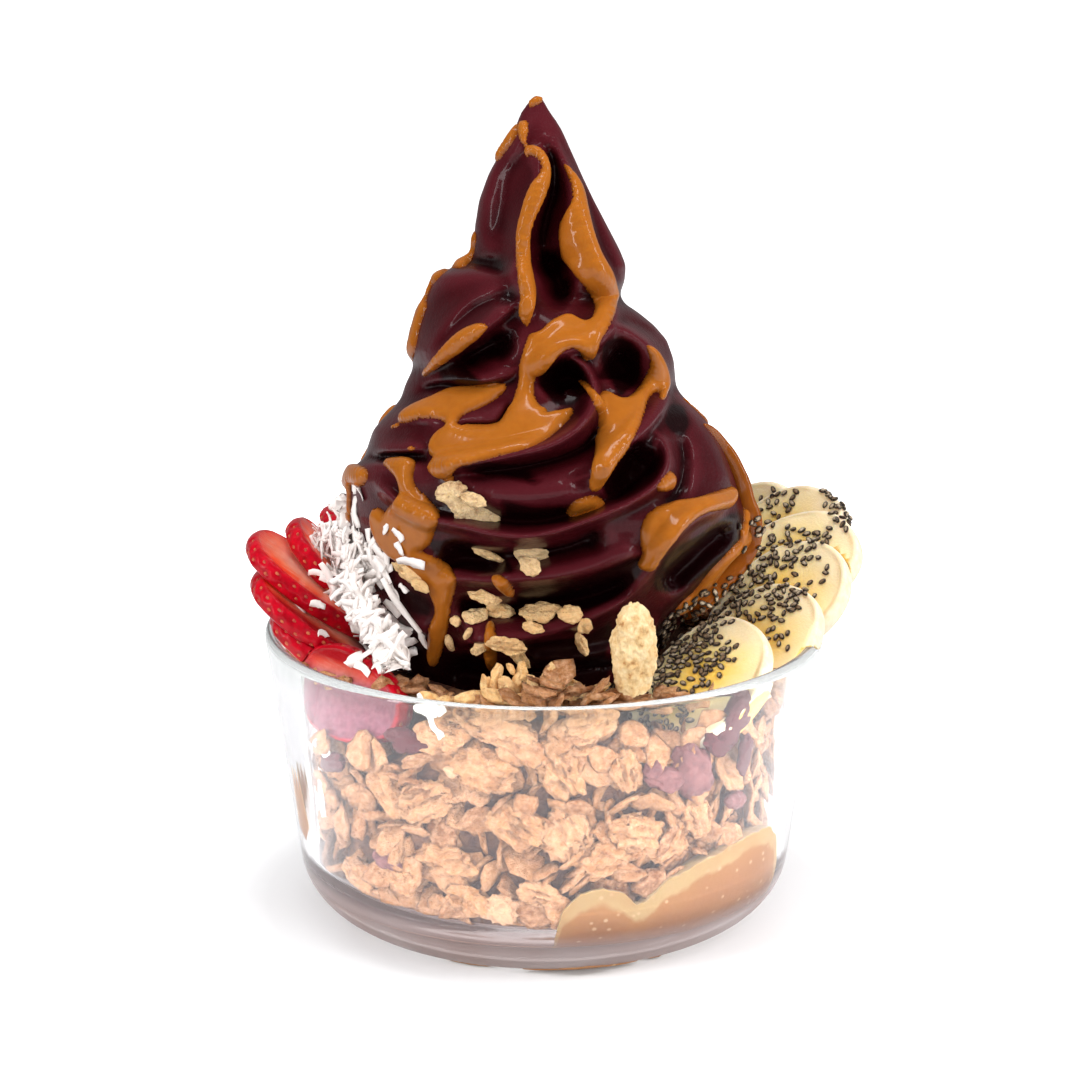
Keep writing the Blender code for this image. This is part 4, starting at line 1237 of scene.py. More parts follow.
# shadows pass, and rays that would be trapped between the walls go straight through
clear = node(tree, "BsdfTransparent", Color=(0.95, 0.97, 0.965, 1.0))
path = node(tree, "LightPath").outputs
trapped = maths(tree, "GREATER_THAN", path["Ray Depth"], 3.5)
mix = node(tree, "MixShader", (0, maths(tree, "MAXIMUM", path["Is Shadow Ray"], trapped)),
           (1, cloudy.outputs["Shader"]), (2, clear.outputs["BSDF"]))
tree.links.new(mix.outputs["Shader"], tree.nodes["Material Output"].inputs["Surface"])
bowl = mesh_piece("glass_bowl_shape", points, faces, glass, "clear_glass")
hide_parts("glass_bowl")


# ---------------------------------------------------------------- granola
BED_TOP = 60.0
FRONT_HEAP = (2.0, -53.0, 15.0, 8.0, 8.5)      # x, y, half-width, half-depth, lift
BACK_DIP = (0.0, 54.0, 30.0, 12.0, -6.5)
GAP_AZIMUTH = 217.0         # degrees from the right side
GAP_HEIGHT = 24.0


def bed_top(x, y):
    """Height of the granola's uneven top at a place, mm."""
    z = BED_TOP + 2.2 * noise.noise(Vector((x * 0.11, y * 0.11, 3.0)))
    z += 1.3 * noise.noise(Vector((x * 0.27, y * 0.27, 7.0)))
    for cx, cy, half_x, half_y, lift in (FRONT_HEAP, BACK_DIP):
        z += lift * math.exp(-(((x - cx) / half_x)**2 + ((y - cy) / half_y)**2))
    return z


# a flake's rings from the middle of its top to the middle of its underside: share of its width, lift
FLAKE_LAYERS = ((0.0, 1.0), (0.42, 1.0), (0.80, 0.85), (1.0, 0.0), (0.80, -0.85), (0.42, -1.0), (0.0, -1.0))
FLAKE_SIDES = 12
FLAKE_RIM = np.concatenate([[0.0], np.repeat([0.15, 0.7, 1.0, 0.7, 0.15], FLAKE_SIDES), [0.0]])


def oat_flakes(rng, count, long_way, wide, thick, sides=FLAKE_SIDES):
    """Points of many rolled oat flakes, each (points, 3), and the faces that they share.

    A flake is a cupped oval with a crease along it and a ragged rim.
    """
    a = np.linspace(0, 2 * math.pi, sides, endpoint=False)
    length = rng.uniform(*long_way, (count, 1)) / 2
    width = length * rng.uniform(*wide, (count, 1))
    shape = 1 + 0.07 * np.sin(2 * a + rng.uniform(0, 6.3, (count, 1)))
    shape = shape + 0.07 * np.sin(3 * a + rng.uniform(0, 6.3, (count, 1)))
    shape = shape + rng.normal(0, 0.085, (count, sides))
    from_bite = (a - rng.uniform(0, 6.3, (count, 1)) + math.pi) % (2 * math.pi) - math.pi
    shape -= rng.uniform(0, 0.5, (count, 1))**2 * np.exp(-(from_bite / 0.35)**2)
    cup = rng.uniform(-0.12, 0.20, (count, 1))
    bend = rng.uniform(-0.09, 0.09, (count, 1))
    crease = rng.uniform(0.1, 0.55, (count, 1))
    height = rng.uniform(*thick, (count, 1))
    layers = []
    for part, lift in FLAKE_LAYERS:
        if part == 0.0:
            x = np.zeros((count, 1))
            y = x
            wobble = 0
        else:
            x = length * part * shape * np.cos(a)
            y = width * part * shape * np.sin(a) * (1 - 0.16 * np.cos(a))
            wobble = rng.normal(0, 0.30, (count, sides)) * part**2
        z = lift * height / 2 + cup * (x**2 + 1.5 * y**2) / length + bend * x * y / length + wobble
        if lift > 0:
            z = z - crease * height * np.exp(-(y / 0.8)**2)
        layers.append(np.stack([x, y, z], 2))
    points = np.concatenate(layers, 1)
    j = np.arange(sides)
    k = (j + 1) % sides
    faces = [np.stack([0 * j, 1 + j, 1 + k], 1)]
    for ring in range(4):
        low = 1 + ring * sides
        high = low + sides
        faces.append(np.stack([low + j, high + j, high + k], 1))
        faces.append(np.stack([low + j, high + k, low + k], 1))
    last = 1 + 5 * sides
    faces.append(np.stack([last + 0 * j, last - sides + k, last - sides + j], 1))
    return points, np.concatenate(faces)


def placed(shapes, turns, where):
    """Many shapes turned and moved to their places."""
    return np.einsum("nij,npj->npi", turns, shapes) + where[:, None, :]


def joined(shapes, faces):
    """One mesh's points and triangles from many alike."""
    count, size, _ = shapes.shape
    tri = faces[None, :, :] + (np.arange(count) * size)[:, None, None]
    return shapes.reshape(-1, 3), tri.reshape(-1, 3)


def inner_radius(z):
    """Radius of the inside of the glass at a height, its round corner included."""
    z = np.asarray(z, float)
    straight = wall_radius(z)
    low = np.clip(inner_mid[1] - z, 0, INNER_CORNER)
    corner = inner_mid[0] + np.sqrt(np.maximum(INNER_CORNER**2 - low**2, 0))
    corner_top = inner_mid[1] - INNER_CORNER * math.sin(math.radians(WALL_LEAN))
    return np.where(z < corner_top, corner, straight)


def kept_in_glass(points, gap=0.22):
    """Points pushed back inside the glass."""
    points = points.copy()
    high = points[..., 2]
    high[...] = np.where(high < BOWL_HEIGHT - 1, np.maximum(high, FLOOR + gap), high)
    radius = np.hypot(points[..., 0], points[..., 1])
    most = np.where(high < BOWL_HEIGHT + 1.5, inner_radius(np.minimum(high, BOWL_HEIGHT)) - gap, np.inf)
    points[..., :2] *= np.minimum(1, most / np.maximum(radius, 1e-6))[..., None]
    return points


def voronoi_values(rng, points, cell, values):
    """For each point the value of its nearest seed, and how near it is to a border between two."""
    low = points.min(0) - cell
    high = points.max(0) + cell
    count = int(np.prod((high - low) / cell)) + 8
    seeds = rng.uniform(low, high, (count, 3))
    table = rng.normal(0, 1, (count, values))
    near = np.empty((len(points), values))
    edge = np.empty(len(points))
    for i in range(0, len(points), 500):
        d = np.linalg.norm(points[i:i + 500, None] - seeds[None], axis=2)
        order = np.argpartition(d, 1, axis=1)[:, :2]
        first = np.take_along_axis(d, order, 1)
        swap = first[:, 0] > first[:, 1]
        order[swap] = order[swap][:, ::-1]
        near[i:i + 500] = table[order[:, 0]]
        edge[i:i + 500] = np.abs(first[:, 1] - first[:, 0])
    return near, edge


def on_wall(rng, cell, low, high):
    """Spread places on the inside of the glass: angle and height."""
    spots = []
    rows = int((high - low) / cell)
    for row in range(rows):
        z = low + (row + 0.5) * (high - low) / rows
        across = int(2 * math.pi * float(inner_radius(z)) / cell)
        start = rng.uniform(0, 1)
        for k in range(across):
            spots.append(((k + start + rng.uniform(-0.4, 0.4)) * 2 * math.pi / across,
                          z + rng.uniform(-0.45, 0.45) * cell))
    return np.array(spots)


def toasted(name, tones, rim_colour, pale, dark_colour):
    """Rolled oats: each flake has its own tone, is browner at the rim, and has flecks and wrinkles."""
    mat, tree, shader = new_material(name, Roughness=0.68, Specular_IOR_Level=0.3, Subsurface_Weight=0.12,
                                     Subsurface_Radius=(1.0, 0.6, 0.3), Subsurface_Scale=0.0012)
    where = place(tree)
    tone = carried(tree, "tone")
    rim = carried(tree, "rim")
    body = ramp(tree, times(tree, tone, 0.7), *tones)
    brown = mixed(tree, times(tree, rim, 0.42), body, rim_colour)
    fleck = grain(tree, where, 700.0, 4.0, 0.65)
    flecked = mixed(tree, ramp(tree, fleck, (0.40, 0.0), (0.68, 0.75)), brown, pale)
    dark = grain(tree, where, 260.0, 4.0, 0.65)
    paint(tree, shader, mixed(tree, ramp(tree, dark, (0.54, 0.0), (0.74, 0.7)), flecked, dark_colour))
    soft = bumped(tree, None, grain(tree, where, 380.0, 5.0, 0.65), 0.0022, 1.0)
    stretch = node(tree, "Mapping", ("Vector", where), Scale=(1.0, 1.0, 3.0)).outputs["Vector"]
    bumped(tree, shader, grain(tree, stretch, 1500.0, 2.0, 0.6), 0.0004, 0.7, soft)
    return mat


TOASTED_TONES = [
    (0.0, (0.20, 0.070, 0.022)), (0.25, (0.42, 0.180, 0.066)), (0.45, (0.60, 0.284, 0.118)),
    (0.7, (0.67, 0.345, 0.178)), (1.0, (0.78, 0.468, 0.292)),
]
GOLDEN_TONES = [
    (0.0, (0.22, 0.085, 0.020)), (0.25, (0.44, 0.20, 0.055)), (0.45, (0.70, 0.340, 0.105)),
    (0.7, (0.92, 0.53, 0.22)), (1.0, (1.0, 0.74, 0.44)),
]
granola = toasted("toasted_oats", TOASTED_TONES, (0.32, 0.120, 0.040), (0.765, 0.440, 0.258),
                  (0.24, 0.080, 0.030))
golden = toasted("golden_oats", GOLDEN_TONES, (0.42, 0.145, 0.026), (1.0, 0.70, 0.36),
                 (0.29, 0.085, 0.018))


def flake_piece(name, shapes, faces, tones):
    """A joined mesh of flakes with their tones."""
    points, tri = joined(shapes, faces)
    piece = mesh_piece(name, points, tri, granola, "granola")
    put_attribute(piece.data, "tone", np.repeat(tones, shapes.shape[1]))
    put_attribute(piece.data, "rim", np.tile(FLAKE_RIM, len(shapes)))


# fruit that shows through the glass in front of the granola: outlines in pixels of the photograph
STRAWBERRY_WINDOW = [(276, 668), (300, 672), (350, 690), (434, 708), (430, 736), (395, 750), (345, 748),
                     (315, 742), (296, 716)]
BANANA_WINDOW = [(626, 712), (700, 704), (772, 680), (762, 700), (724, 724), (694, 745), (668, 753),
                 (642, 742)]
WINDOWS = [np.array(line, float) for line in (STRAWBERRY_WINDOW, BANANA_WINDOW)]


def in_window(points):
    """Which places hide fruit that shows through the glass."""
    flat, _ = to_pixels(points)
    result = np.zeros(len(points), bool)
    for line in WINDOWS:
        result |= within(flat, line)
    return result & (points[:, 1] < 0)


def wall_flakes(seed, cell, inset, tilt, low, high, long_way):
    """Flakes that stand or lie against the inside of the glass, in clusters."""
    rng = np.random.default_rng(seed)
    angle, z = on_wall(rng, cell, low, high).T
    out = np.stack([np.cos(angle), np.sin(angle), 0 * angle], 1)
    at = out * inner_radius(z)[:, None]
    at[:, 2] = z
    shown = ~in_window(at)
    angle, z, out, at = angle[shown], z[shown], out[shown], at[shown]
    count = len(at)
    near, edge = voronoi_values(rng, at, 15.0, 4)
    way = out + near[:, :3] * tilt * 0.75 + rng.normal(0, tilt * 0.55, (count, 3))
    shapes, faces = oat_flakes(rng, count, long_way, (0.62, 0.9), (0.9, 1.5))
    turns = frames(way, rng.uniform(0, 2 * math.pi, count))
    shapes = placed(shapes, turns, np.zeros((count, 3)))
    reach = np.einsum("npi,ni->np", shapes, out).max(1)
    hollow = np.clip(1.5 - edge / 2.6, 0, 1.5) * 2.2 + np.clip(near[:, 3], 0, 2) * 0.9
    depth = inset + hollow + rng.uniform(0, 0.9, count) + reach * rng.uniform(0.7, 1.0, count)
    # the dark gap low down at the left
    from_gap = ((np.degrees(angle) % 360 - GAP_AZIMUTH) / 9.0)**2 + ((z - GAP_HEIGHT) / 3.2)**2
    depth += 9.0 * np.exp(-from_gap**2)
    at -= out * depth[:, None]
    shapes = kept_in_glass(shapes + at[:, None, :])
    tones = np.clip(0.52 + 0.15 * near[:, 3] + rng.normal(0, 0.17, count), 0, 1)
    return shapes, faces, tones


shapes, faces, tones = wall_flakes(21, cell=4.6, inset=0.0, tilt=0.62, low=9.5, high=59.0,
                                   long_way=(6.8, 10.5))
flake_piece("granola_flakes_outer", shapes, faces, tones)
# the inner layer's tones are darker: painted shade behind the outer flakes
shapes, faces, tones = wall_flakes(22, cell=5.2, inset=4.2, tilt=0.8, low=10.0, high=58.0,
                                   long_way=(6.5, 9.5))
flake_piece("granola_flakes_inner", shapes, faces, tones * 0.85)


def top_flakes(seed, count, low, high, radius_low):
    """Flakes lying on the top of the bed around the swirl."""
    rng = np.random.default_rng(seed)
    angle = rng.uniform(0, 2 * math.pi, count)
    radius = np.sqrt(rng.uniform(radius_low**2, 58.5**2, count))
    x = radius * np.cos(angle)
    y = radius * np.sin(angle)
    z = np.array([bed_top(*p) for p in zip(x, y)]) + rng.uniform(low, high, count)
    shown = ~in_window(np.stack([x, y, z], 1))
    x, y, z = x[shown], y[shown], z[shown]
    count = len(x)
    way = np.stack([rng.normal(0, 0.55, count), rng.normal(0, 0.55, count), np.ones(count)], 1)
    shapes, faces = oat_flakes(rng, count, (5.5, 9.5), (0.6, 0.9), (0.8, 1.5))
    shapes = placed(shapes, frames(way, rng.uniform(0, 6.3, count)), np.stack([x, y, z], 1))
    return kept_in_glass(shapes), faces, np.clip(rng.normal(0.45, 0.2, count), 0, 1)


shapes, faces, tones = top_flakes(23, count=380, low=-3.5, high=0.3, radius_low=40.0)
flake_piece("granola_flakes_top", shapes, faces, tones)

# the inside of the heap, seen only through the gaps between flakes: its dark colour is painted shade
core_mat, tree, shader = new_material("granola_inside", Roughness=0.8, Specular_IOR_Level=0.2)
where = place(tree)
crumb = grain(tree, where, 300.0, 4.0, 0.6)
crumbs = ramp(tree, crumb, (0.3, (0.045, 0.020, 0.020)), (0.55, (0.15, 0.070, 0.042)),
              (0.8, (0.36, 0.19, 0.095)))
underside = ramp(tree, times(tree, split(tree, where)["Z"], 100.0), (0.80, 1.0), (0.90, 0.0))
paint(tree, shader, mixed(tree, underside, crumbs, (0.50, 0.34, 0.29)))
bumped(tree, shader, crumb, 0.0015, 0.8)
side = [(1.0, FLOOR - 0.12), (inner_mid[0] + 1.0, FLOOR - 0.12), (inner_mid[0] + 2.6, FLOOR + 0.5)]
side += [(float(inner_radius(z)) - 5.5, z) for z in np.linspace(11, 56, 26)]
side += [(53.0, 57.5), (50.0, 58.0), (47.0, 57.5), (43.0, 55.0), (36.0, 46.0), (24.0, 38.0), (1.0, 38.0)]
points, faces = turned(side, 120)
ring = np.hypot(points[:, 0], points[:, 1])
for i, p in enumerate(points):
    if p[2] > FLOOR + 1 and ring[i] > 20:
        bump = noise.noise(Vector(p) * 0.16) * 1.6 + noise.noise(Vector(p) * 0.42) * 0.9
        points[i, :2] *= 1 + bump / ring[i]
        points[i, 2] += 0.6 * bump
near, _ = to_pixels(points)
for line in WINDOWS:
    middle = line.mean(0)
    wide = middle + (line - middle) * 1.25
    points[within(near, wide) & (points[:, 1] < 0) & (points[:, 2] > 30)] *= (0.68, 0.68, 1.0)
core = mesh_piece("granola_core", points, faces, core_mat, "granola")
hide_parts("granola_bed")


# ---------------------------------------------------------------- sauce that ran down inside the glass
POOL_TOP = [(-88, 8.6), (-86, 17.5), (-82, 21.5), (-77, 22.5), (-72, 20.5), (-69, 17.5), (-66.5, 18.5),
            (-62, 22), (-54, 24.5), (-45, 26.5), (-36, 27.3), (-29, 26.6), (-24, 22), (-21, 15),
            (-19.5, 8.6)]
POOL_DEEP = 4.4
SMEAR_TOP = [(-166, 22.5), (-164, 37), (-161.5, 40), (-159, 38), (-157, 26)]
SMEAR_LOW = [(-166, 21.5), (-161, 19.5), (-157, 24)]
SMEAR_DEEP = 0.5
# thin smears on the foot: from and to in azimuth, and from and to in degrees up the round of its corner
FOOT_SMEARS = [
    (-96, -64, 13.0, 25.0), (-87, -72, 18.0, 33.0), (-118, -104, 12.0, 17.0), (-61, -56, 12.0, 20.0),
]
FOOT_SMEAR_AROUND = 96
# a smear's rings from its edge to its middle: share of its size, height over the glass
FOOT_SMEAR_RINGS = [(1.0, 0.02), (0.97, 0.20), (0.80, 0.34), (0.4, 0.38), (0.0, 0.38)]


def wall_pool(name, tops, deep, seed, low=None, around=150, up=44):
    """Sauce against the inside of the glass: reaches just into the wall, and up to a wavy top.

    tops is (azimuth in degrees, height in mm); low gives the same for its lower edge.
    """
    tops = np.array(tops, float)
    a = np.linspace(tops[0, 0], tops[-1, 0], around)
    top = np.interp(a, tops[:, 0], tops[:, 1])
    ends = np.sin(np.linspace(0, math.pi, around))**0.3
    wave = [noise.noise(Vector((t * 0.16, seed, 0))) + 0.6 * noise.noise(Vector((t * 0.5, seed, 5)))
            for t in a]
    top = top + np.array(wave) * 0.9 * ends
    floor_at = np.full(around, FLOOR - 0.15) if low is None else np.interp(a, *np.array(low, float).T)
    t = np.linspace(0, 1, up)
    z = floor_at[:, None] + (np.maximum(top - floor_at, 0.2))[:, None] * t[None, :]
    level = top[:, None] - z
    way = np.stack([np.cos(np.radians(a)), np.sin(np.radians(a))], 1)
    outer = inner_radius(np.maximum(z, FLOOR + 0.05)) + 0.12
    edge = np.clip(level / 2.6, 0, 1)
    under = 1.0 if low is None else np.clip((z - floor_at[:, None]) / 2.0, 0, 1)
    thick = deep * np.sqrt(1 - (1 - edge)**2) * ends[:, None] * np.sqrt(under) + 0.14
    lumps = [[noise.noise(Vector((p * 0.12, q * 0.16, seed + 2))) for q in row] for p, row in zip(a, z)]
    inner = outer - thick * (1 + 0.22 * np.array(lumps))
    front = np.concatenate([outer[..., None] * way[:, None, :], z[..., None]], 2)
    rear = np.concatenate([inner[..., None] * way[:, None, :], z[..., None]], 2)
    ring = np.concatenate([front, rear[:, ::-1]], 1)
    faces = ring_faces(around, ring.shape[1], flipped=True)
    piece = mesh_piece(name, ring.reshape(-1, 3), faces, pool_mat, "peanut_sauce")
    put_attribute(piece.data, "level", np.concatenate([level, level[:, ::-1]], 1).reshape(-1))
    return piece


pool_mat, tree, shader = new_material("peanut_sauce_pool", Roughness=0.35, Specular_IOR_Level=0.2,
                                      Subsurface_Weight=0.25, Subsurface_Radius=(1.0, 0.5, 0.2),
                                      Subsurface_Scale=0.0015)
where = place(tree)
level = carried(tree, "level")
unrest = maths(tree, "SUBTRACT", grain(tree, where, 170.0, 3.0), 0.5)
ragged = maths(tree, "ADD", times(tree, level, 0.1), times(tree, unrest, 0.35))
body = ramp(tree, ragged, (0.0, (0.47, 0.33, 0.165)), (0.34, (0.49, 0.335, 0.17)),
            (0.46, (0.40, 0.195, 0.085)), (1.0, (0.355, 0.168, 0.080)))
drops = node(tree, "TexVoronoi", ("Vector", where), Scale=330.0, Randomness=1.0).outputs["Distance"]
spotted = mixed(tree, ramp(tree, drops, (0.13, 0.75), (0.2, 0.0)), body, (0.60, 0.41, 0.25))
patches = ramp(tree, grain(tree, where, 90.0, 3.0), (0.45, 0.0), (0.7, 0.5))
paint(tree, shader, mixed(tree, patches, spotted, (0.43, 0.225, 0.10)))
bumped(tree, shader, grain(tree, where, 300.0, 3.0), 0.0004, 0.4)
pool = wall_pool("sauce_pool_shape", POOL_TOP, POOL_DEEP, seed=1.0)
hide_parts("sauce_pool")
wall_pool("sauce_smear", SMEAR_TOP, SMEAR_DEEP, seed=4.0, low=SMEAR_LOW, around=40, up=24)


def foot_smears():
    """Thin sauce along the glass's foot at the front, on the round of its corner."""
    rng = np.random.default_rng(61)
    points = []
    faces = []
    t = np.linspace(0, 2 * math.pi, FOOT_SMEAR_AROUND, endpoint=False)
    for a0, a1, f0, f1 in FOOT_SMEARS:
        wave = 1 + 0.22 * np.sin(5 * t + a0) + 0.12 * np.sin(11 * t + a1) + rng.normal(0, 0.03, len(t))
        faces += ring_faces(len(FOOT_SMEAR_RINGS), len(t), len(points))
        for share, off in FOOT_SMEAR_RINGS:
            a = np.radians((a0 + a1) / 2 + (a1 - a0) / 2 * np.cos(t) * share)
            f = np.radians((f0 + f1) / 2 + (f1 - f0) / 2 * np.sin(t) * wave * share)
            r = outer_mid[0] + (OUTER_CORNER + off) * np.sin(f)
            z = np.maximum(outer_mid[1] - (OUTER_CORNER + off) * np.cos(f), 0.02)
            points += np.stack([r * np.cos(a), r * np.sin(a), z], 1).tolist()
    piece = mesh_piece("sauce_on_foot", points, faces, pool_mat, "peanut_sauce", smooth=False)
    put_attribute(piece.data, "level", np.full(len(points), 7.0))


foot_smears()


# ---------------------------------------------------------------- lumps: oats on the swirl, dried berries
def icosphere(level):
    """Points and triangles of a ball of radius 1."""
    bm = bmesh.new()
    bmesh.ops.create_icosphere(bm, subdivisions=level, radius=1.0)
    points = np.array([v.co for v in bm.verts])
    tri = np.array([[v.index for v in f.verts] for f in bm.faces])
    bm.free()
    return points, tri


SPHERE = {level: icosphere(level) for level in (3, 4)}
BALL, BALL_FACES = icosphere(2)


def wrinkled(size, seed, level=4, rough=1.0, folds=1.0):
    """Points of a flattened lump, wrinkled along its length, half-sizes in mm."""
    points = SPHERE[level][0] * np.array(size, float)
    shift = Vector((seed, 0.3 * seed, 0))
    result = np.empty_like(points)
    for i, (x, y, z) in enumerate(points):
        at = Vector((x, y, z))
        rim = 1 + rough * (0.26 * noise.noise(at * 0.28 + shift) + 0.20 * noise.noise(at * 0.75 + shift)
                           + 0.12 * noise.noise(at * 1.7 + shift))
        crease = folds * (abs(noise.noise(Vector((x * 0.16, y * 0.8, seed)))) * 0.9
                          + 0.4 * abs(noise.noise(Vector((x * 0.4, y * 2.1, seed + 9)))))
        swell = folds * (0.8 * noise.noise(Vector((x * 0.35, y * 0.35, seed)))
                         + 0.35 * noise.noise(Vector((x, y, seed)) * 1.1))
        result[i] = x * rim, y * rim, z * (1.15 - crease * 1.3) + swell
    return result


def axes_at(normal, angle):
    """Axes of a flat thing that lies on a surface, its length at an angle to the photograph's right."""
    z = normal / np.linalg.norm(normal)
    right = np.array([1.0, 0.0, 0.0])
    x = right * math.cos(math.radians(angle)) + np.array([0.0, 0.25, 0.97]) * -math.sin(math.radians(angle))
    x -= z * (x @ z)
    x /= np.linalg.norm(x)
    return np.stack([x, np.cross(z, x), z], 1)


# ---------------------------------------------------------------- fruit
# strawberry slices: tip, then pitch, swing and roll in degrees, length, width and thickness
BERRIES = [
    ((-50.0, 14.0, 86.8), 56, 6, 0, 32, 25, 4.2),
    ((-57.5, 9.5, 84.8), 50, 3, 0, 33, 26, 4.4),
    ((-66.0, 2.0, 83.4), 38, 0, 0, 36, 27, 4.4),
    ((-64.5, -4.0, 76.4), 38, 0, 0, 36, 27, 4.4),
    ((-60.2, -5.5, 69.0), 38, -2, 0, 33, 25, 4.3),
    ((-52.5, -17.0, 58.0), 6, -46, 72, 33, 19, 5.0),
]
BERRY_ROUND = 0.45          # radius of the edges of the cut faces
BERRY_BULGE = 0.75          # how far a slice's rim stands out in the middle of its thickness
SEED_ROW = 0.95             # height of the two rows of seeds over and under that middle
SEED_SUNK = 0.30
SEED_HALF = (0.58, 0.34, 0.24)
PIT_DEEP = 0.42
PIT_WIDE = 0.85
# sizes of the rings on a slice's cut face
FACE_SHARES = (0.02, 0.2, 0.38, 0.54, 0.68, 0.79, 0.88, 0.945)
RIM_RINGS = 15
BANANA_LONG = 37.0
BANANA_WIDE = 28.0
BANANA_THICK = 4.6
BANANA_ROUND = 0.8
BANANA_BULGE = 0.35
BANANA_SQUARE = 2.15        # 2 is an ellipse, more is squarer
BANANA_AROUND = 120
# banana slices: middle, direction of the length, direction that the cut face looks
BANANAS = [
    ((47.0, 39.5, 70.5), (0.62, -0.10, 0.78), (-0.60, -0.60, 0.50)),
    ((54.5, 26.5, 74.0), (0.76, 0.00, 0.65), (-0.60, -0.58, 0.55)),
    ((55.5, 12.5, 72.5), (0.78, 0.10, 0.52), (-0.58, -0.55, 0.60)),
    ((53.0, 2.5, 67.5), (0.74, 0.20, 0.60), (-0.55, -0.52, 0.65)),
    ((46.0, -12.5, 61.5), (0.68, 0.38, 0.60), (-0.50, -0.50, 0.70)),
    ((34.0, -29.0, 58.8), (0.55, 0.58, 0.56), (-0.42, -0.45, 0.79)),
]


def run_round(outline):
    """Length along a closed outline up to each of its points, counted from its last one."""
    return np.cumsum(np.linalg.norm(outline - np.roll(outline, 1, 0), axis=1))


def slice_mesh(name, outline, axis, thick, round_edge, bulge, seed, pits=()):
    """A slice: two cut faces and a rounded rim between them.

    outline is (count, 2); axis gives for each of its points where the face's rings shrink to.
    Each point carries its flat place, its distance in from the rim and whether it is skin.
    """
    count = len(outline)
    ahead = np.roll(outline, -1, 0) - np.roll(outline, 1, 0)
    out = unit(np.stack([ahead[:, 1], -ahead[:, 0]], 1))
    run = run_round(outline)
    points = []
    inward = []
    skin = []

    def relief(flat, side):
        return [0.22 * noise.noise(Vector((x * 0.22, y * 0.22, seed + side))) for x, y in flat]

    def face(side):
        for share in FACE_SHARES[::side]:
            flat = axis + (outline - axis) * share
            z = side * thick / 2 + np.array(relief(flat, side)) - side * 0.10 * share**6
            points.append(np.concatenate([flat, z[:, None]], 1))
            inward.append(np.linalg.norm(outline - flat, axis=1))
            skin.append(np.zeros(count))

    face(1)
    for level in np.linspace(1, -1, RIM_RINGS):
        z = level * thick / 2
        corner = np.clip((abs(level) * thick / 2 - (thick / 2 - round_edge)) / round_edge, 0, 1)
        pull = round_edge * (1 - math.sqrt(max(0.0, 1 - corner**2)))
        push = bulge * (1 - level**2) - pull
        flat = outline + out * push
        for at, height, deep, wide in pits:
            gap = np.abs(run - at)
            gap = np.minimum(gap, run[-1] - gap)
            d2 = (gap**2 + (z - height)**2) / wide**2
            dent = deep * np.exp(-d2 * 1.6)
            swell = 0.22 * deep * np.exp(-(np.sqrt(d2) - 1.5)**2 * 4)
            flat = flat - out * (dent - swell)[:, None]
        wave = np.array(relief(flat, level)) * 0.5 * (1 - abs(level))
        points.append(np.concatenate([flat, np.full((count, 1), z) + wave[:, None]], 1))
        inward.append(np.zeros(count))
        skin.append(np.full(count, 1.0 if abs(level) < 0.93 else 0.35))
    face(-1)
    faces = ring_faces(len(points), count, flipped=True)
    points = np.concatenate(points)
    mesh = plain_mesh(name, points, faces)
    put_attribute(mesh, "slice", points)
    put_attribute(mesh, "inward", np.concatenate(inward))
    put_attribute(mesh, "skin", np.concatenate(skin))
    return mesh


def berry_outline(length, width, count=150):
    """A strawberry cut lengthways, its tip at the start: outline and the points it shrinks to."""
    t = np.linspace(0, 2 * math.pi, count, endpoint=False)
    s = (1 - np.cos(t)) / 2
    half = np.sin(math.pi * np.minimum(1, 0.05 + 0.90 * s)**0.80)**0.62
    # both ends are round
    half = half * np.sqrt(np.clip(1 - np.clip(1 - s / 0.09, 0, 1)**2, 0, 1))
    half = half * np.sqrt(np.clip(1 - np.clip((s - 0.95) / 0.05, 0, 1)**2, 0, 1))
    outline = np.stack([s * length, np.where(t < math.pi, 1, -1) * half * width / 2], 1)
    # even spacing along the edge
    closed = np.concatenate([outline, outline[:1]])
    run = run_of(closed)
    at = np.linspace(0, run[-1], count, endpoint=False)
    outline = np.stack([np.interp(at, run, closed[:, k]) for k in (0, 1)], 1)
    axis = np.stack([np.clip(outline[:, 0], 0.3 * length, 0.72 * length), np.zeros(count)], 1)
    axis[:, 0] = length * 0.5 + (axis[:, 0] - length * 0.5) * 0.9
    return outline[::-1], axis[::-1], run[-1]


def turned_to(swing, pitch, roll):
    """A turn about X, then Y, then Z, in degrees."""
    turn = Matrix.Rotation(math.radians(swing), 4, "Z") @ Matrix.Rotation(math.radians(pitch), 4, "Y")
    return turn @ Matrix.Rotation(math.radians(roll), 4, "X")


def berry_place(row):
    """Where a slice of strawberry lies."""
    tip, pitch, swing, roll = row[:4]
    return Matrix.Translation(Vector(tip) * MM) @ turned_to(swing, pitch, roll)


def banana_place(row):
    """Where a slice of banana lies."""
    x = Vector(row[1]).normalized()
    z = Vector(row[2])
    z = (z - x * z.dot(x)).normalized()
    turn = Matrix((x, z.cross(x), z)).transposed().to_4x4()
    return Matrix.Translation(Vector(row[0]) * MM) @ turn


def cut(mesh, *cutters):
    """A mesh less other meshes."""
    for cutter in cutters:
        for solver in ("MANIFOLD", "EXACT"):
            temp = bpy.data.objects.new("cut", mesh)
            tool = bpy.data.objects.new("cutter", cutter)
            bpy.context.scene.collection.objects.link(temp)
            bpy.context.scene.collection.objects.link(tool)
            step = temp.modifiers.new("cut", "BOOLEAN")
            step.solver = solver
            step.operation = "DIFFERENCE"
            step.object = tool
            graph = bpy.context.evaluated_depsgraph_get()
            made = bpy.data.meshes.new_from_object(temp.evaluated_get(graph))
            bpy.data.objects.remove(temp)
            bpy.data.objects.remove(tool)
            if len(made.vertices) > 0.3 * len(mesh.vertices):
                mesh = made
                break
    return largest_body(mesh)


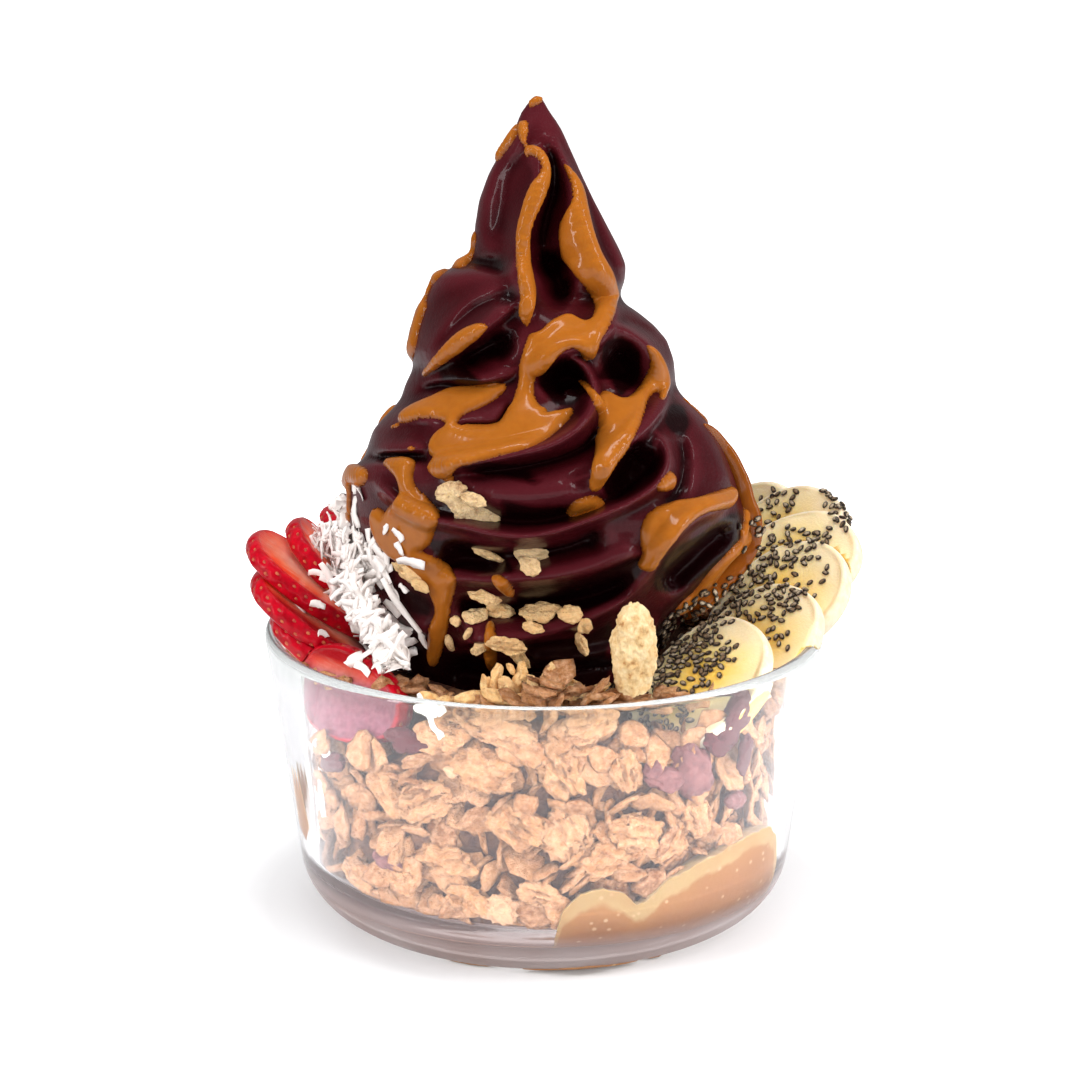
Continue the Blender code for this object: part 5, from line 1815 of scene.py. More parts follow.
def largest_body(mesh):
    """The largest connected piece of a mesh."""
    bm = bmesh.new()
    bm.from_mesh(mesh)
    bm.verts.ensure_lookup_table()
    mark = np.full(len(bm.verts), -1)
    sizes = []
    for vert in bm.verts:
        if mark[vert.index] >= 0:
            continue
        stack = [vert]
        mark[vert.index] = len(sizes)
        size = 0
        while stack:
            here = stack.pop()
            size += 1
            for edge in here.link_edges:
                near = edge.other_vert(here)
                if mark[near.index] < 0:
                    mark[near.index] = len(sizes)
                    stack.append(near)
        sizes.append(size)
    keep = int(np.argmax(sizes))
    bmesh.ops.delete(bm, geom=[v for v in bm.verts if mark[v.index] != keep], context="VERTS")
    bm.to_mesh(mesh)
    bm.free()
    return mesh


def swollen(mesh, by):
    """A copy of a mesh grown outwards, mm."""
    made = mesh.copy()
    normals = np.empty(len(made.vertices) * 3, np.float32)
    made.vertices.foreach_get("normal", normals)
    co = np.empty(len(made.vertices) * 3, np.float32)
    made.vertices.foreach_get("co", co)
    made.vertices.foreach_set("co", co + normals * by * MM)
    made.update()
    return made


def fruit_slice(fruit, number, mesh, mat):
    """The finished piece of one slice, with what its points carry."""
    name = "%s_slice_%d" % (fruit, number)
    faces = [list(polygon.vertices) for polygon in mesh.polygons]
    piece = mesh_piece(name + "_shape", points_of(mesh), faces, mat, fruit)
    for key in ("slice", "inward", "skin"):
        put_attribute(piece.data, key, get_attribute(mesh, key))
    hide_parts(name)
    return piece


strawberry, tree, shader = new_material("strawberry_flesh", Roughness=0.3, Specular_IOR_Level=0.15,
                                        Subsurface_Weight=0.2, Subsurface_Radius=(1.0, 0.25, 0.15),
                                        Subsurface_Scale=0.0014, Coat_Weight=0.30, Coat_Roughness=0.05,
                                        Coat_IOR=1.38)
where = place(tree, "slice")
inward = carried(tree, "inward")
skin = carried(tree, "skin")
# red at the edge, pale in the middle, with lighter fibres and darker mottles
flesh = ramp(tree, maths(tree, "DIVIDE", inward, 12.0), (0.0, (0.74, 0.010, 0.012)),
             (0.09, (0.90, 0.045, 0.016)), (0.22, (0.97, 0.11, 0.035)), (0.42, (0.98, 0.29, 0.16)),
             (0.90, (0.98, 0.66, 0.52)))
fibre = node(tree, "Mapping", ("Vector", where), Scale=(0.10, 0.9, 0.3)).outputs["Vector"]
lines = grain(tree, fibre, 1.6, 4.0, 0.6)
flesh = mixed(tree, ramp(tree, lines, (0.52, 0.0), (0.70, 0.55)), flesh, (0.97, 0.50, 0.36))
mottle = grain(tree, where, 0.35, 3.0)
flesh = mixed(tree, ramp(tree, mottle, (0.4, 0.0), (0.8, 0.5)), flesh, (0.80, 0.055, 0.025))
peel = ramp(tree, grain(tree, where, 0.5, 3.0), (0.3, (0.31, 0.0008, 0.007)), (0.7, (0.56, 0.002, 0.015)))
# deeper red in front just over the rim, and dusky behind the glass, which is painted shade below the rim;
# heights in tenths of a metre
spot = split(tree, place(tree))
high = times(tree, spot["Z"], 10.0)
in_front = ramp(tree, maths(tree, "ADD", times(tree, spot["Y"], 50.0), 1.0), (0.25, 1.0), (0.50, 0.0))
low_down = ramp(tree, high, (0.60, 0.0), (0.64, 1.0), (0.745, 0.96), (0.80, 0.0))
flesh = mixed(tree, times(tree, low_down, in_front), flesh, (0.30, 0.003, 0.007))
blotch = grain(tree, where, 0.9, 4.0, 0.65)
dusky = ramp(tree, blotch, (0.38, (0.15, 0.030, 0.055)), (0.62, (0.26, 0.075, 0.110)))
flesh = mixed(tree, ramp(tree, high, (0.60, 1.0), (0.63, 0.0)), flesh, dusky)
paint(tree, shader, mixed(tree, skin, flesh, peel))
soft = bumped(tree, None, lines, 0.0002, 0.25)
bumped(tree, shader, grain(tree, where, 2.6, 3.0), 0.0002, 0.35, soft)

achene, tree, shader = new_material("strawberry_seed", Roughness=0.35, Specular_IOR_Level=0.5)
spots = grain(tree, place(tree), 900.0, 2.0)
paint(tree, shader, ramp(tree, spots, (0.3, (0.34, 0.030, 0.022)), (0.7, (0.60, 0.16, 0.060))))

berry_meshes = []
seed_turns = []
seed_spots = []
rng = np.random.default_rng(31)
for number, row in enumerate(BERRIES):
    length, width, thick = row[4:]
    outline, axis, total = berry_outline(length, width)
    # seeds in two rows round the rim, by turns above and below its middle
    pits = []
    at = rng.uniform(0, 2)
    while at < total - 1.2:
        row_height = SEED_ROW if len(pits) % 2 else -SEED_ROW
        pits.append((at, row_height + rng.uniform(-0.25, 0.25), PIT_DEEP, PIT_WIDE))
        at += rng.uniform(1.75, 2.35)
    mesh = slice_mesh("strawberry_slice", outline, axis, thick, BERRY_ROUND, BERRY_BULGE, 10.0 * number,
                      pits)
    put = berry_place(row)
    run = run_round(outline)
    for at, height, _, _ in pits:
        i = int(np.argmin(np.abs(run - at)))
        ahead = outline[(i + 1) % len(outline)] - outline[i - 1]
        ahead /= np.linalg.norm(ahead)
        out = np.array([ahead[1], -ahead[0]])
        push = BERRY_BULGE * (1 - (2 * height / thick)**2) - SEED_SUNK
        spot = np.array([*(outline[i] + out * push), height])
        spot = np.array(put @ Vector(spot * MM)) / MM
        turn = put.to_3x3()
        way = np.array(turn @ Vector((*out, 0.15 * height)))
        tall = np.array(turn @ Vector((ahead[0], ahead[1], 0.0)))
        side = np.cross(way, tall)
        side /= np.linalg.norm(side)
        tall = np.cross(side, way)
        seed_turns.append(np.stack([tall / np.linalg.norm(tall), side, way / np.linalg.norm(way)], 1))
        seed_spots.append(spot)
    mesh.transform(put)
    berry_meshes.append(mesh)
# each slice gives way to the one in front of it
rooms = [swollen(mesh, 0.25) for mesh in berry_meshes]
berry_pieces = []
for k, mesh in enumerate(berry_meshes):
    if k < len(BERRIES) - 1:
        mesh = cut(mesh, rooms[k + 1])
    berry_pieces.append(fruit_slice("strawberry", k + 1, mesh, strawberry))
size = np.array(SEED_HALF) * rng.uniform(0.85, 1.15, (len(seed_spots), 1))
drop = BALL[None] * size[:, None, :]
drop[:, :, 1] *= 1 - 0.35 * BALL[None, :, 0]
points, tri = joined(placed(drop, np.array(seed_turns), np.array(seed_spots)), BALL_FACES)
mesh_piece("strawberry_seeds", points, tri, achene, "strawberry")


banana, tree, shader = new_material("banana_flesh", Roughness=0.38, Specular_IOR_Level=0.45,
                                    Subsurface_Weight=0.35, Subsurface_Radius=(1.0, 0.75, 0.4),
                                    Subsurface_Scale=0.0022)
where = place(tree, "slice")
inward = carried(tree, "inward")
skin = carried(tree, "skin")
# the middle is deeper yellow and has three lobes; x is shortened so that the oval counts as round
parts = split(tree, where)
x = times(tree, parts["X"], 0.76)
y = parts["Y"]
angle = maths(tree, "ARCTAN2", y, x)
radius = maths(tree, "SQRT", maths(tree, "ADD", times(tree, x, x), times(tree, y, y)))
lobes = times(tree, maths(tree, "COSINE", times(tree, angle, 3.0)), 1.3)
middle = maths(tree, "DIVIDE", maths(tree, "ADD", radius, lobes), BANANA_WIDE / 2)
blur = times(tree, maths(tree, "SUBTRACT", grain(tree, where, 0.35, 3.0), 0.5), 0.22)
pulp = ramp(tree, maths(tree, "ADD", middle, blur), (0.0, (0.92, 0.54, 0.11)), (0.22, (0.94, 0.555, 0.10)),
            (0.40, (0.96, 0.63, 0.18)), (0.62, (0.98, 0.72, 0.32)), (0.92, (0.98, 0.78, 0.48)))
round_it = node(tree, "CombineXYZ", ("X", angle)).outputs["Vector"]
spoke = node(tree, "TexNoise", ("Vector", round_it), Scale=6.0, Detail=2.0).outputs["Fac"]
pulp = mixed(tree, ramp(tree, spoke, (0.5, 0.0), (0.75, 0.35)), pulp, (0.95, 0.71, 0.40))
edge = ramp(tree, grain(tree, where, 0.6, 3.0), (0.3, (0.88, 0.68, 0.44)), (0.7, (0.95, 0.80, 0.62)))
paint(tree, shader, mixed(tree, skin, pulp, edge))
soft = bumped(tree, None, spoke, 0.0002, 0.3)
bumped(tree, shader, grain(tree, where, 1.8, 4.0), 0.00025, 0.45, soft)


def bowl_room():
    """The room that the bowl's wall and lip take up, a little over their size and open-ended outwards."""
    middle = RIM_RADIUS - lip
    room = [(wall_radius(z) - 0.3, z) for z in (6.0, 20.0, 40.0, 60.0, 63.2)]
    room += [(middle - 1.3, BOWL_HEIGHT - 0.45), (middle - 0.4, BOWL_HEIGHT + 0.28),
             (middle + 0.8, BOWL_HEIGHT + 0.2), (RIM_RADIUS + 0.2, BOWL_HEIGHT - 1.2),
             (RIM_RADIUS + 30, BOWL_HEIGHT - 30), (RIM_RADIUS + 30, 6.0)]
    mesh = plain_mesh("bowl_room", *turned(room + [room[0]], 140, capped=False))
    bm = bmesh.new()
    bm.from_mesh(mesh)
    bmesh.ops.remove_doubles(bm, verts=bm.verts, dist=1e-6)
    bmesh.ops.recalc_face_normals(bm, faces=bm.faces)
    bm.to_mesh(mesh)
    bm.free()
    return mesh


def banana_outline(number):
    """A slice's slightly lobed oval, flatter than an ellipse at its sides and ends."""
    t = np.linspace(0, 2 * math.pi, BANANA_AROUND, endpoint=False)
    lobe = 1 + 0.022 * np.cos(3 * t + number) + 0.012 * np.cos(5 * t + 2 * number)
    power = 2 / BANANA_SQUARE
    return np.stack([np.sign(np.cos(t)) * np.abs(np.cos(t))**power * BANANA_LONG / 2,
                     np.sign(np.sin(t)) * np.abs(np.sin(t))**power * BANANA_WIDE / 2], 1) * lobe[:, None]


banana_meshes = []
for number, row in enumerate(BANANAS):
    outline = banana_outline(number)
    mesh = slice_mesh("banana_slice", outline, 0 * outline, BANANA_THICK, BANANA_ROUND, BANANA_BULGE,
                      50 + 10.0 * number)
    mesh.transform(banana_place(row))
    banana_meshes.append(mesh)
# each slice gives way to the bowl and to the slice in front of it
bowl_cutter = bowl_room()
rooms = [swollen(mesh, 0.2) for mesh in banana_meshes]
banana_pieces = []
for k, mesh in enumerate(banana_meshes):
    mesh = cut(mesh, bowl_cutter, *rooms[k + 1:k + 2])
    banana_pieces.append(fruit_slice("banana", k + 1, mesh, banana))


# ---------------------------------------------------------------- things on the fruit and the swirl
def tree_of(*pieces):
    """A ray tree of pieces, in mm."""
    points = []
    faces = []
    start = 0
    for piece in pieces:
        points.append(points_of(piece.data))
        faces.append(triangles_of(piece.data) + start)
        start += len(points[-1])
    return BVHTree.FromPolygons(np.concatenate(points).tolist(), np.concatenate(faces).tolist())


def landed(tree, px, py):
    """Where a photograph's pixel lands, and the surface's direction there."""
    hit, normal, _, _ = tree.ray_cast(Vector(EYE), Vector(pixel_ray(px, py)))
    if hit is None:
        return None, None
    if normal.dot(Vector(EYE) - hit) < 0:
        normal = -normal
    return np.array(hit), np.array(normal)


# oats on the swirl: x, y, length and width in pixels of the photograph, angle down to the right,
# half-thickness in mm, tone, how far they stand off, and the tilt towards the viewer
OATS = [
    (471, 509, 62, 32, 24, 1.0, 1.35, 0.6, 0.3), (453, 491, 34, 20, -14, 0.9, 1.30, 1.5, 0.4),
    (478, 498, 30, 15, 12, 0.8, 1.20, 1.7, 0.3), (489, 552, 42, 10, 32, 0.9, 0.75, 0.6, 0.5),
    (531, 552, 33, 22, 8, 1.2, 1.25, 0.8, 0.6), (530, 569, 24, 19, 60, 1.2, 1.05, 0.9, 0.6),
    (414, 573, 46, 17, 26, 1.1, 0.85, 0.7, 0.3), (424, 583, 22, 12, 18, 0.9, 0.60, 1.2, 0.3),
    (485, 594, 34, 15, 16, 1.0, 0.80, 0.7, 0.3), (498, 603, 24, 12, 24, 0.8, 0.45, 1.0, 0.3),
    (502, 615, 30, 18, 24, 1.0, 0.70, 0.8, 0.4), (476, 619, 24, 20, -40, 1.0, 1.00, 0.7, 0.3),
    (457, 621, 12, 10, 20, 0.8, 0.80, 0.6, 0.3), (471, 634, 14, 8, -40, 0.8, 0.80, 0.6, 0.3),
    (541, 617, 42, 27, 12, 1.4, 0.62, 0.9, 0.3), (534, 630, 24, 12, 20, 1.0, 0.50, 0.8, 0.3),
    (571, 618, 24, 22, 10, 1.3, 0.62, 1.0, 0.4), (583, 622, 20, 15, 70, 1.1, 0.48, 1.1, 0.3),
    (580, 640, 26, 12, 62, 1.0, 0.55, 0.9, 0.3), (451, 642, 20, 8, 80, 0.8, 0.95, 0.6, 0.3),
    (506, 641, 40, 20, 20, 1.2, 0.55, 0.9, 0.4), (520, 655, 28, 13, 55, 1.0, 0.45, 1.0, 0.3),
    (484, 647, 26, 12, -28, 0.9, 0.85, 0.7, 0.3), (521, 668, 18, 9, 85, 0.9, 0.40, 0.9, 0.3),
]
# granola that stands at the rim in front: x, y, length, width, angle, half-thickness, tone, y in mm
RIM_OATS = [
    (487, 689, 30, 12, 80, 1.1, 0.38, -49.5), (496, 680, 34, 13, -75, 1.2, 0.42, -48.5),
    (507, 688, 30, 14, 70, 1.3, 0.55, -50.0), (518, 684, 36, 12, -70, 1.2, 0.40, -48.0),
    (523, 673, 22, 10, 85, 1.1, 0.35, -47.5), (535, 688, 30, 14, 60, 1.3, 0.58, -50.5),
    (546, 678, 32, 12, -65, 1.2, 0.50, -49.0), (554, 674, 26, 11, 78, 1.2, 0.60, -48.5),
    (551, 690, 28, 15, 10, 1.3, 0.66, -51.0), (566, 692, 30, 12, 25, 1.2, 0.50, -50.5),
    (580, 692, 34, 12, 18, 1.2, 0.72, -50.5), (592, 696, 30, 11, 5, 1.2, 0.55, -50.0),
    (470, 697, 34, 12, -8, 1.2, 0.50, -50.0), (448, 700, 30, 11, 5, 1.2, 0.42, -49.0),
    (497, 697, 30, 14, 15, 1.3, 0.48, -51.5), (524, 697, 30, 14, -20, 1.3, 0.45, -51.5),
    (573, 684, 26, 9, 20, 0.9, 0.15, -46.0), (600, 688, 22, 9, -20, 1.0, 0.45, -47.5),
    (432, 697, 26, 10, 20, 1.0, 0.40, -47.5), (512, 667, 16, 8, 60, 0.9, 0.45, -47.0),
]


def oat_pieces():
    """Oats and lumps of granola where the photograph shows them."""
    carrier = tree_of(swirl, drips)
    rng = np.random.default_rng(71)
    points = []
    tones = []
    rims = []
    tri = []
    start = 0
    # tones are brought to the range of golden_oats, and the rim's oats, which stand in shade, get a lift
    # that is also painted light; only the rim's oats have a depth of their own
    rows = [(*row[:6], min(row[6] * 0.4 + 0.85, 1.4), None, *row[7:]) for row in OATS]
    rows += [(*row[:6], row[6] + 0.55, row[7], 0.0, 0.4) for row in RIM_OATS]
    for number, (px, py, long_way, wide, angle, thick, tone, depth, off, tilt) in enumerate(rows):
        if depth is None:
            hit, normal = landed(carrier, px, py)
            if hit is None:
                continue
            normal = normal * (1 - tilt) - AHEAD * tilt
        else:
            hit = at_depth(*np.array([[px], [py]], float), depth)[0]
            normal = -AHEAD + rng.normal(0, 0.35, 3)
        scale = pixels_per_mm(hit)
        size = (long_way / 2 / scale, wide / 2 / scale, thick)
        level = 4 if long_way > 20 else 3
        turn = axes_at(normal, angle)
        shape = wrinkled(size, 7.3 * number + 1, level)
        place_at = hit + turn[:, 2] * (off + thick * 0.45)
        points.append(shape @ turn.T + place_at)
        tones.append(np.full(len(shape), tone))
        rims.append(np.abs(SPHERE[level][0][:, :2]).max(1)**3 * 0.7)
        tri.append(SPHERE[level][1] + start)
        start += len(shape)
    piece = mesh_piece("oat_pieces", np.concatenate(points), np.concatenate(tri), golden, "granola")
    put_attribute(piece.data, "tone", np.concatenate(tones))
    put_attribute(piece.data, "rim", np.concatenate(rims))


oat_pieces()

# against the inside of the glass: x, y, length and width in pixels, angle, half-thickness in mm; first
# dried berries, then lumps of acai
DRIED = [
    (669, 781, 46, 26, 12, 2.6), (697, 772, 58, 44, 50, 3.4), (655, 770, 22, 18, 0, 2.0),
    (384, 860, 34, 18, 10, 2.2), (738, 800, 18, 26, 80, 2.0),
]
SMEARS = [
    (738, 718, 60, 30, -52, 2.0), (718, 746, 34, 20, 20, 1.8), (744, 752, 18, 40, 10, 1.4),
    (404, 742, 44, 24, 6, 1.8), (335, 762, 40, 18, -10, 1.2),
]
dried_mat, tree, shader = new_material("dried_berry", Roughness=0.4, Specular_IOR_Level=0.3)
where = place(tree)
skin = grain(tree, where, 420.0, 4.0)
paint(tree, shader, ramp(tree, skin, (0.3, (0.105, 0.030, 0.034)), (0.7, (0.24, 0.090, 0.085))))
bumped(tree, shader, grain(tree, where, 700.0, 3.0), 0.0006, 0.7)


def on_glass(px, py):
    """Where a photograph's pixel meets the inside of the glass, and the way out of the glass there."""
    way = pixel_ray(px, py)
    a = way[0]**2 + way[1]**2
    b = EYE[0] * way[0] + EYE[1] * way[1]
    # the radius depends on the height of the hit, and the hit on the radius
    radius = 55.0
    for _ in range(12):
        c = EYE[0]**2 + EYE[1]**2 - radius**2
        hit = EYE + way * ((-b - math.sqrt(max(b * b - a * c, 0.0))) / a)
        radius = float(inner_radius(hit[2]))
    return hit, np.array([hit[0], hit[1], 0.0]) / math.hypot(hit[0], hit[1])


def against_glass(name, rows, mat, slot, rough, inset=0.25, folds=0.5):
    """Lumps that lie against the inside of the glass; rows as in DRIED."""
    points = []
    tri = []
    start = 0
    for number, (px, py, long_way, wide, angle, thick) in enumerate(rows):
        hit, out = on_glass(px, py)
        turn = axes_at(out, angle)
        scale = pixels_per_mm(hit)
        shape = wrinkled((long_way / 2 / scale, wide / 2 / scale, thick), 3.1 * number + 2, 4, rough, folds)
        shape = shape @ turn.T + hit - out * (thick * 0.8 + inset)
        points.append(kept_in_glass(shape))
        tri.append(SPHERE[4][1] + start)
        start += len(shape)
    return mesh_piece(name, np.concatenate(points), np.concatenate(tri), mat, slot)


CLUSTERS = [
    (560, 772, 70, 44, 60, 3.4), (478, 770, 74, 46, 10, 3.2), (566, 838, 58, 50, 80, 3.4),
    (418, 802, 70, 40, -20, 3.0), (516, 828, 60, 40, 30, 3.2), (640, 836, 60, 42, 15, 3.0),
    (382, 790, 60, 30, 50, 2.8), (604, 862, 54, 36, -10, 2.8), (446, 862, 60, 30, 5, 2.6),
    (672, 846, 50, 34, -40, 2.8), (500, 732, 70, 34, 10, 2.8), (590, 728, 60, 34, -15, 2.8),
    (358, 874, 44, 26, 20, 2.2), (540, 896, 46, 26, 20, 2.2), (468, 900, 50, 26, 15, 2.2),
    (700, 818, 44, 32, 60, 2.6), (434, 742, 56, 32, 0, 2.6), (628, 772, 44, 32, 70, 2.6),
    (398, 880, 44, 24, 15, 2.0), (730, 838, 30, 40, 80, 2.0),
]
lumps = against_glass("granola_clusters", CLUSTERS, granola, "granola", rough=1.15, folds=1.25)
rng = np.random.default_rng(81)
put_attribute(lumps.data, "tone", np.repeat(rng.uniform(0.50, 0.88, len(CLUSTERS)), len(SPHERE[4][0])))
put_attribute(lumps.data, "rim", np.full(len(CLUSTERS) * len(SPHERE[4][0]), 0.2))
against_glass("dried_berries", DRIED, dried_mat, "granola", rough=0.9)
against_glass("acai_on_glass", SMEARS, acai, "acai", rough=1.4, inset=0.1)


# the sauce that hangs off the swirl's right edge down to the fruit: x, y and half-width in pixels
DRAPE = [(703, 424, 4.0), (716, 437, 6.0), (730, 456, 7.0), (740, 477, 8.0), (746, 499, 9.0),
         (752, 519, 9.5), (753, 537, 9.5), (745, 555, 10.0), (729, 574, 11.0), (711, 591, 12.5),
         (695, 606, 11.0), (682, 619, 6.0)]


def sauce_drape(around=20):
    """A thick run of sauce along a path of pixels, on whatever carries it there."""
    carrier = tree_of(swirl, drips)
    line = along_stroke(DRAPE, 2.5)
    count = len(line)
    depth = np.full(count, np.nan)
    for i, (px, py, _) in enumerate(line):
        hit, _ = landed(carrier, px, py)
        if hit is not None:
            depth[i] = hit[1]
    known = np.flatnonzero(np.isfinite(depth))
    depth = np.interp(np.arange(count), known, depth[known])
    depth = np.convolve(np.pad(depth, 6, mode="edge"), np.ones(13) / 13, "valid") - 0.5
    middle = at_depth(line[:, 0], line[:, 1], depth)
    way = unit(np.gradient(middle, axis=0))
    across = unit(np.cross(way, AHEAD))
    ends = np.clip(np.minimum(np.arange(count), np.arange(count)[::-1]) / 4.0, 0, 1)
    half = line[:, 2] / SWIRL_SCALE * np.sqrt(1 - (1 - ends)**2 * 0.96)
    for i in range(count):
        half[i] *= 1 + 0.13 * noise.noise(Vector((0.13 * i, 4.2, 0.0)))
    turn = np.linspace(0, 2 * math.pi, around, endpoint=False)
    ring = (middle[:, None] + across[:, None] * (half[:, None] * np.cos(turn))[..., None]
            - AHEAD * (half[:, None] * 0.62 * np.sin(turn))[..., None])
    return mesh_piece("sauce_drape", ring.reshape(-1, 3), ring_faces(count, around), sauce, "peanut_sauce")


drape = sauce_drape()


# chia: runs of (x, y, half-width) in pixels of the photograph and how many seeds along each
CHIA = [
    ([(604, 690, 4), (630, 686, 8), (655, 668, 13), (684, 632, 14), (712, 608, 13), (742, 590, 11)], 185),
    ([(742, 592, 10), (770, 572, 8), (795, 551, 6), (826, 535, 3)], 56),
    ([(672, 684, 14), (690, 664, 20), (706, 640, 16)], 62),
    ([(700, 655, 12), (722, 652, 10)], 16),
    ([(748, 606, 12), (772, 600, 11), (797, 594, 7)], 44),
    ([(772, 628, 9), (780, 640, 6)], 10),
    ([(766, 514, 8), (778, 500, 9), (792, 496, 5)], 18),
    ([(775, 540, 12), (785, 552, 10)], 14),
    ([(832, 495, 4), (838, 508, 6), (845, 526, 5)], 26),
    ([(800, 575, 14), (822, 575, 10)], 9),
    ([(748, 522, 6), (752, 560, 6)], 6),
    ([(640, 716, 8), (660, 716, 13), (682, 708, 8)], 46),
    ([(652, 735, 7), (668, 732, 6)], 10),
]
CHIA_HALF = (1.0, 0.60, 0.42)
CHIA_APART = 1.35           # a seed looks for a place this far from the last CHIA_LAST ones
CHIA_LAST = 220
CHIA_TRIES = 5
CHIA_LIFT = 0.30            # over what it lies on, and CHIA_STEP more for each seed that it overlaps
CHIA_STEP = 0.16
CHIA_TOP = 1.3              # once it is this high, it isn't lifted further
CHIA_OVERLAP = 1.0          # nearer than this two seeds overlap; the last CHIA_UNDER are looked at
CHIA_UNDER = 160
chia, tree, shader = new_material("chia_seed", Roughness=0.28, Specular_IOR_Level=0.5)
veins = grain(tree, place(tree, "own"), 2.6, 3.0, 0.7, Distortion=1.2)
shade = carried(tree, "tone")
# the middle attribute brings painted light: each seed is paler in its middle as a painted highlight and near
# black at its rim as painted shade, over its own mottled veins
middle = carried(tree, "middle")
pale = mixed(tree, shade, (0.20, 0.125, 0.070), (0.58, 0.47, 0.33))
spread = maths(tree, "ADD", middle, times(tree, maths(tree, "SUBTRACT", veins, 0.5), 1.6))
paint(tree, shader, mixed(tree, ramp(tree, spread, (0.42, 0.0), (0.70, 1.0)), (0.022, 0.014, 0.010), pale))


def chia_seeds():
    """Seeds that lie flat where the photograph shows them, heaped where they are thick."""
    rng = np.random.default_rng(41)
    carrier = tree_of(swirl, drips, drape, *banana_pieces)
    spots = []
    ways = []
    for run, count in CHIA:
        line = along_stroke(run, 1.0)
        for _ in range(count):
            # a few tries to find a place that no other seed has
            for _ in range(CHIA_TRIES):
                x, y, half = line[rng.integers(len(line))]
                a = rng.uniform(0, 2 * math.pi)
                r = half * math.sqrt(rng.uniform(0, 1)) * 1.6 + abs(rng.normal(0, 2.4))
                hit, normal = landed(carrier, x + r * math.cos(a), y + r * math.sin(a))
                if hit is not None and all(np.linalg.norm(other - hit) > CHIA_APART
                                           for other in spots[-CHIA_LAST:]):
                    break
            if hit is None:
                continue
            # it lies on those it overlaps
            lift = CHIA_LIFT
            for other in spots[-CHIA_UNDER:]:
                if np.linalg.norm(other - hit) < CHIA_OVERLAP and lift < CHIA_TOP:
                    lift += CHIA_STEP
            spots.append(hit + normal * lift)
            ways.append(normal + rng.normal(0, 0.12 + 0.15 * (lift > 0.4), 3))
    spots = np.array(spots)
    ways = np.array(ways)
    count = len(spots)
    size = np.array(CHIA_HALF) * rng.uniform(0.88, 1.12, (count, 1))
    shape = BALL[None] * size[:, None, :]
    shape[:, :, 1] *= 1 - 0.18 * BALL[None, :, 0]
    points, tri = joined(placed(shape, frames(ways, rng.uniform(0, 6.3, count)), spots), BALL_FACES)
    piece = mesh_piece("chia_seeds", points, tri, chia, "banana")
    own = BALL[None] * size[:, None, :] + rng.uniform(0, 40, (count, 1, 3))
    put_attribute(piece.data, "own", own.reshape(-1, 3))
    put_attribute(piece.data, "tone", np.repeat(rng.uniform(0, 1, count)**1.5, len(BALL)))
    # paler towards the middle of the seed's flat side and dark at its rim: painted highlight and shade
    middle = np.clip(1.15 - np.hypot(BALL[:, 0], BALL[:, 1]), 0, 1)
    put_attribute(piece.data, "middle", np.tile(middle, count))


chia_seeds()


# ---------------------------------------------------------------- coconut
def shreds(rng, spots, ways, normals, length, width, parts=7):
    """Curled strips of coconut, each with its points in a row of six-cornered rings."""
    count = len(spots)
    ways = unit(ways)
    sides = np.cross(normals, ways)
    sides /= np.maximum(np.linalg.norm(sides, axis=1), 1e-6)[:, None]
    normals = np.cross(ways, sides)
    t = np.linspace(-1, 1, parts + 1)[None, :, None]
    curl = rng.uniform(-0.07, 0.10, (count, 1, 1)) * length[:, None, None]
    bend = rng.uniform(-0.08, 0.08, (count, 1, 1)) * length[:, None, None]
    wave = rng.uniform(-0.04, 0.04, (count, 1, 1)) * length[:, None, None]
    phase = rng.uniform(0, 6.3, (count, 1, 1))
    centre = spots[:, None, :] + ways[:, None, :] * t * length[:, None, None] / 2
    centre = centre - normals[:, None, :] * curl * t**2
    centre = centre + sides[:, None, :] * (bend * t**2 + wave * np.sin(4 * t + phase))
    twist = rng.uniform(-0.9, 0.9, (count, 1, 1)) * t + rng.normal(0, 0.35, (count, 1, 1))
    flat = sides[:, None, :] * np.cos(twist) + normals[:, None, :] * np.sin(twist)
    tall = normals[:, None, :] * np.cos(twist) - sides[:, None, :] * np.sin(twist)
    taper = 1 - 0.12 * np.abs(t)**6 + rng.normal(0, 0.10, (count, parts + 1, 1))
    half = width[:, None, None] / 2 * taper
    thin = rng.uniform(0.10, 0.20, (count, 1, 1)) * (1 - 0.2 * np.abs(t)**4)
    # six corners round a strip: thin at its edges, thicker along its middle
    across = flat * half
    ring = [centre + across + tall * thin * 0.6, centre + tall * thin, centre - across + tall * thin * 0.6,
            centre - across - tall * thin * 0.6, centre - tall * thin, centre + across - tall * thin * 0.6]
    corners = len(ring)
    points = np.stack(ring, 2).reshape(count, -1, 3)
    j = np.arange(corners)
    k = (j + 1) % corners
    faces = []
    for low in range(0, parts * corners, corners):
        high = low + corners
        faces.append(np.stack([low + j, low + k, high + k], 1))
        faces.append(np.stack([low + j, high + k, high + j], 1))
    i = np.arange(1, corners - 1)
    faces.append(np.stack([0 * i, i + 1, i], 1)[::-1])
    faces.append(np.stack([0 * i, i, i + 1], 1) + parts * corners)
    return points, np.concatenate(faces)


coconut, tree, shader = new_material("coconut_flesh", Roughness=0.5, Specular_IOR_Level=0.4)
where = place(tree)
shade = grain(tree, where, 260.0, 3.0)
paint(tree, shader, ramp(tree, shade, (0.3, (0.90, 0.815, 0.775)), (0.6, (0.97, 0.915, 0.88))))
bumped(tree, shader, grain(tree, where, 1400.0, 3.0, 0.6), 0.0002, 0.4)

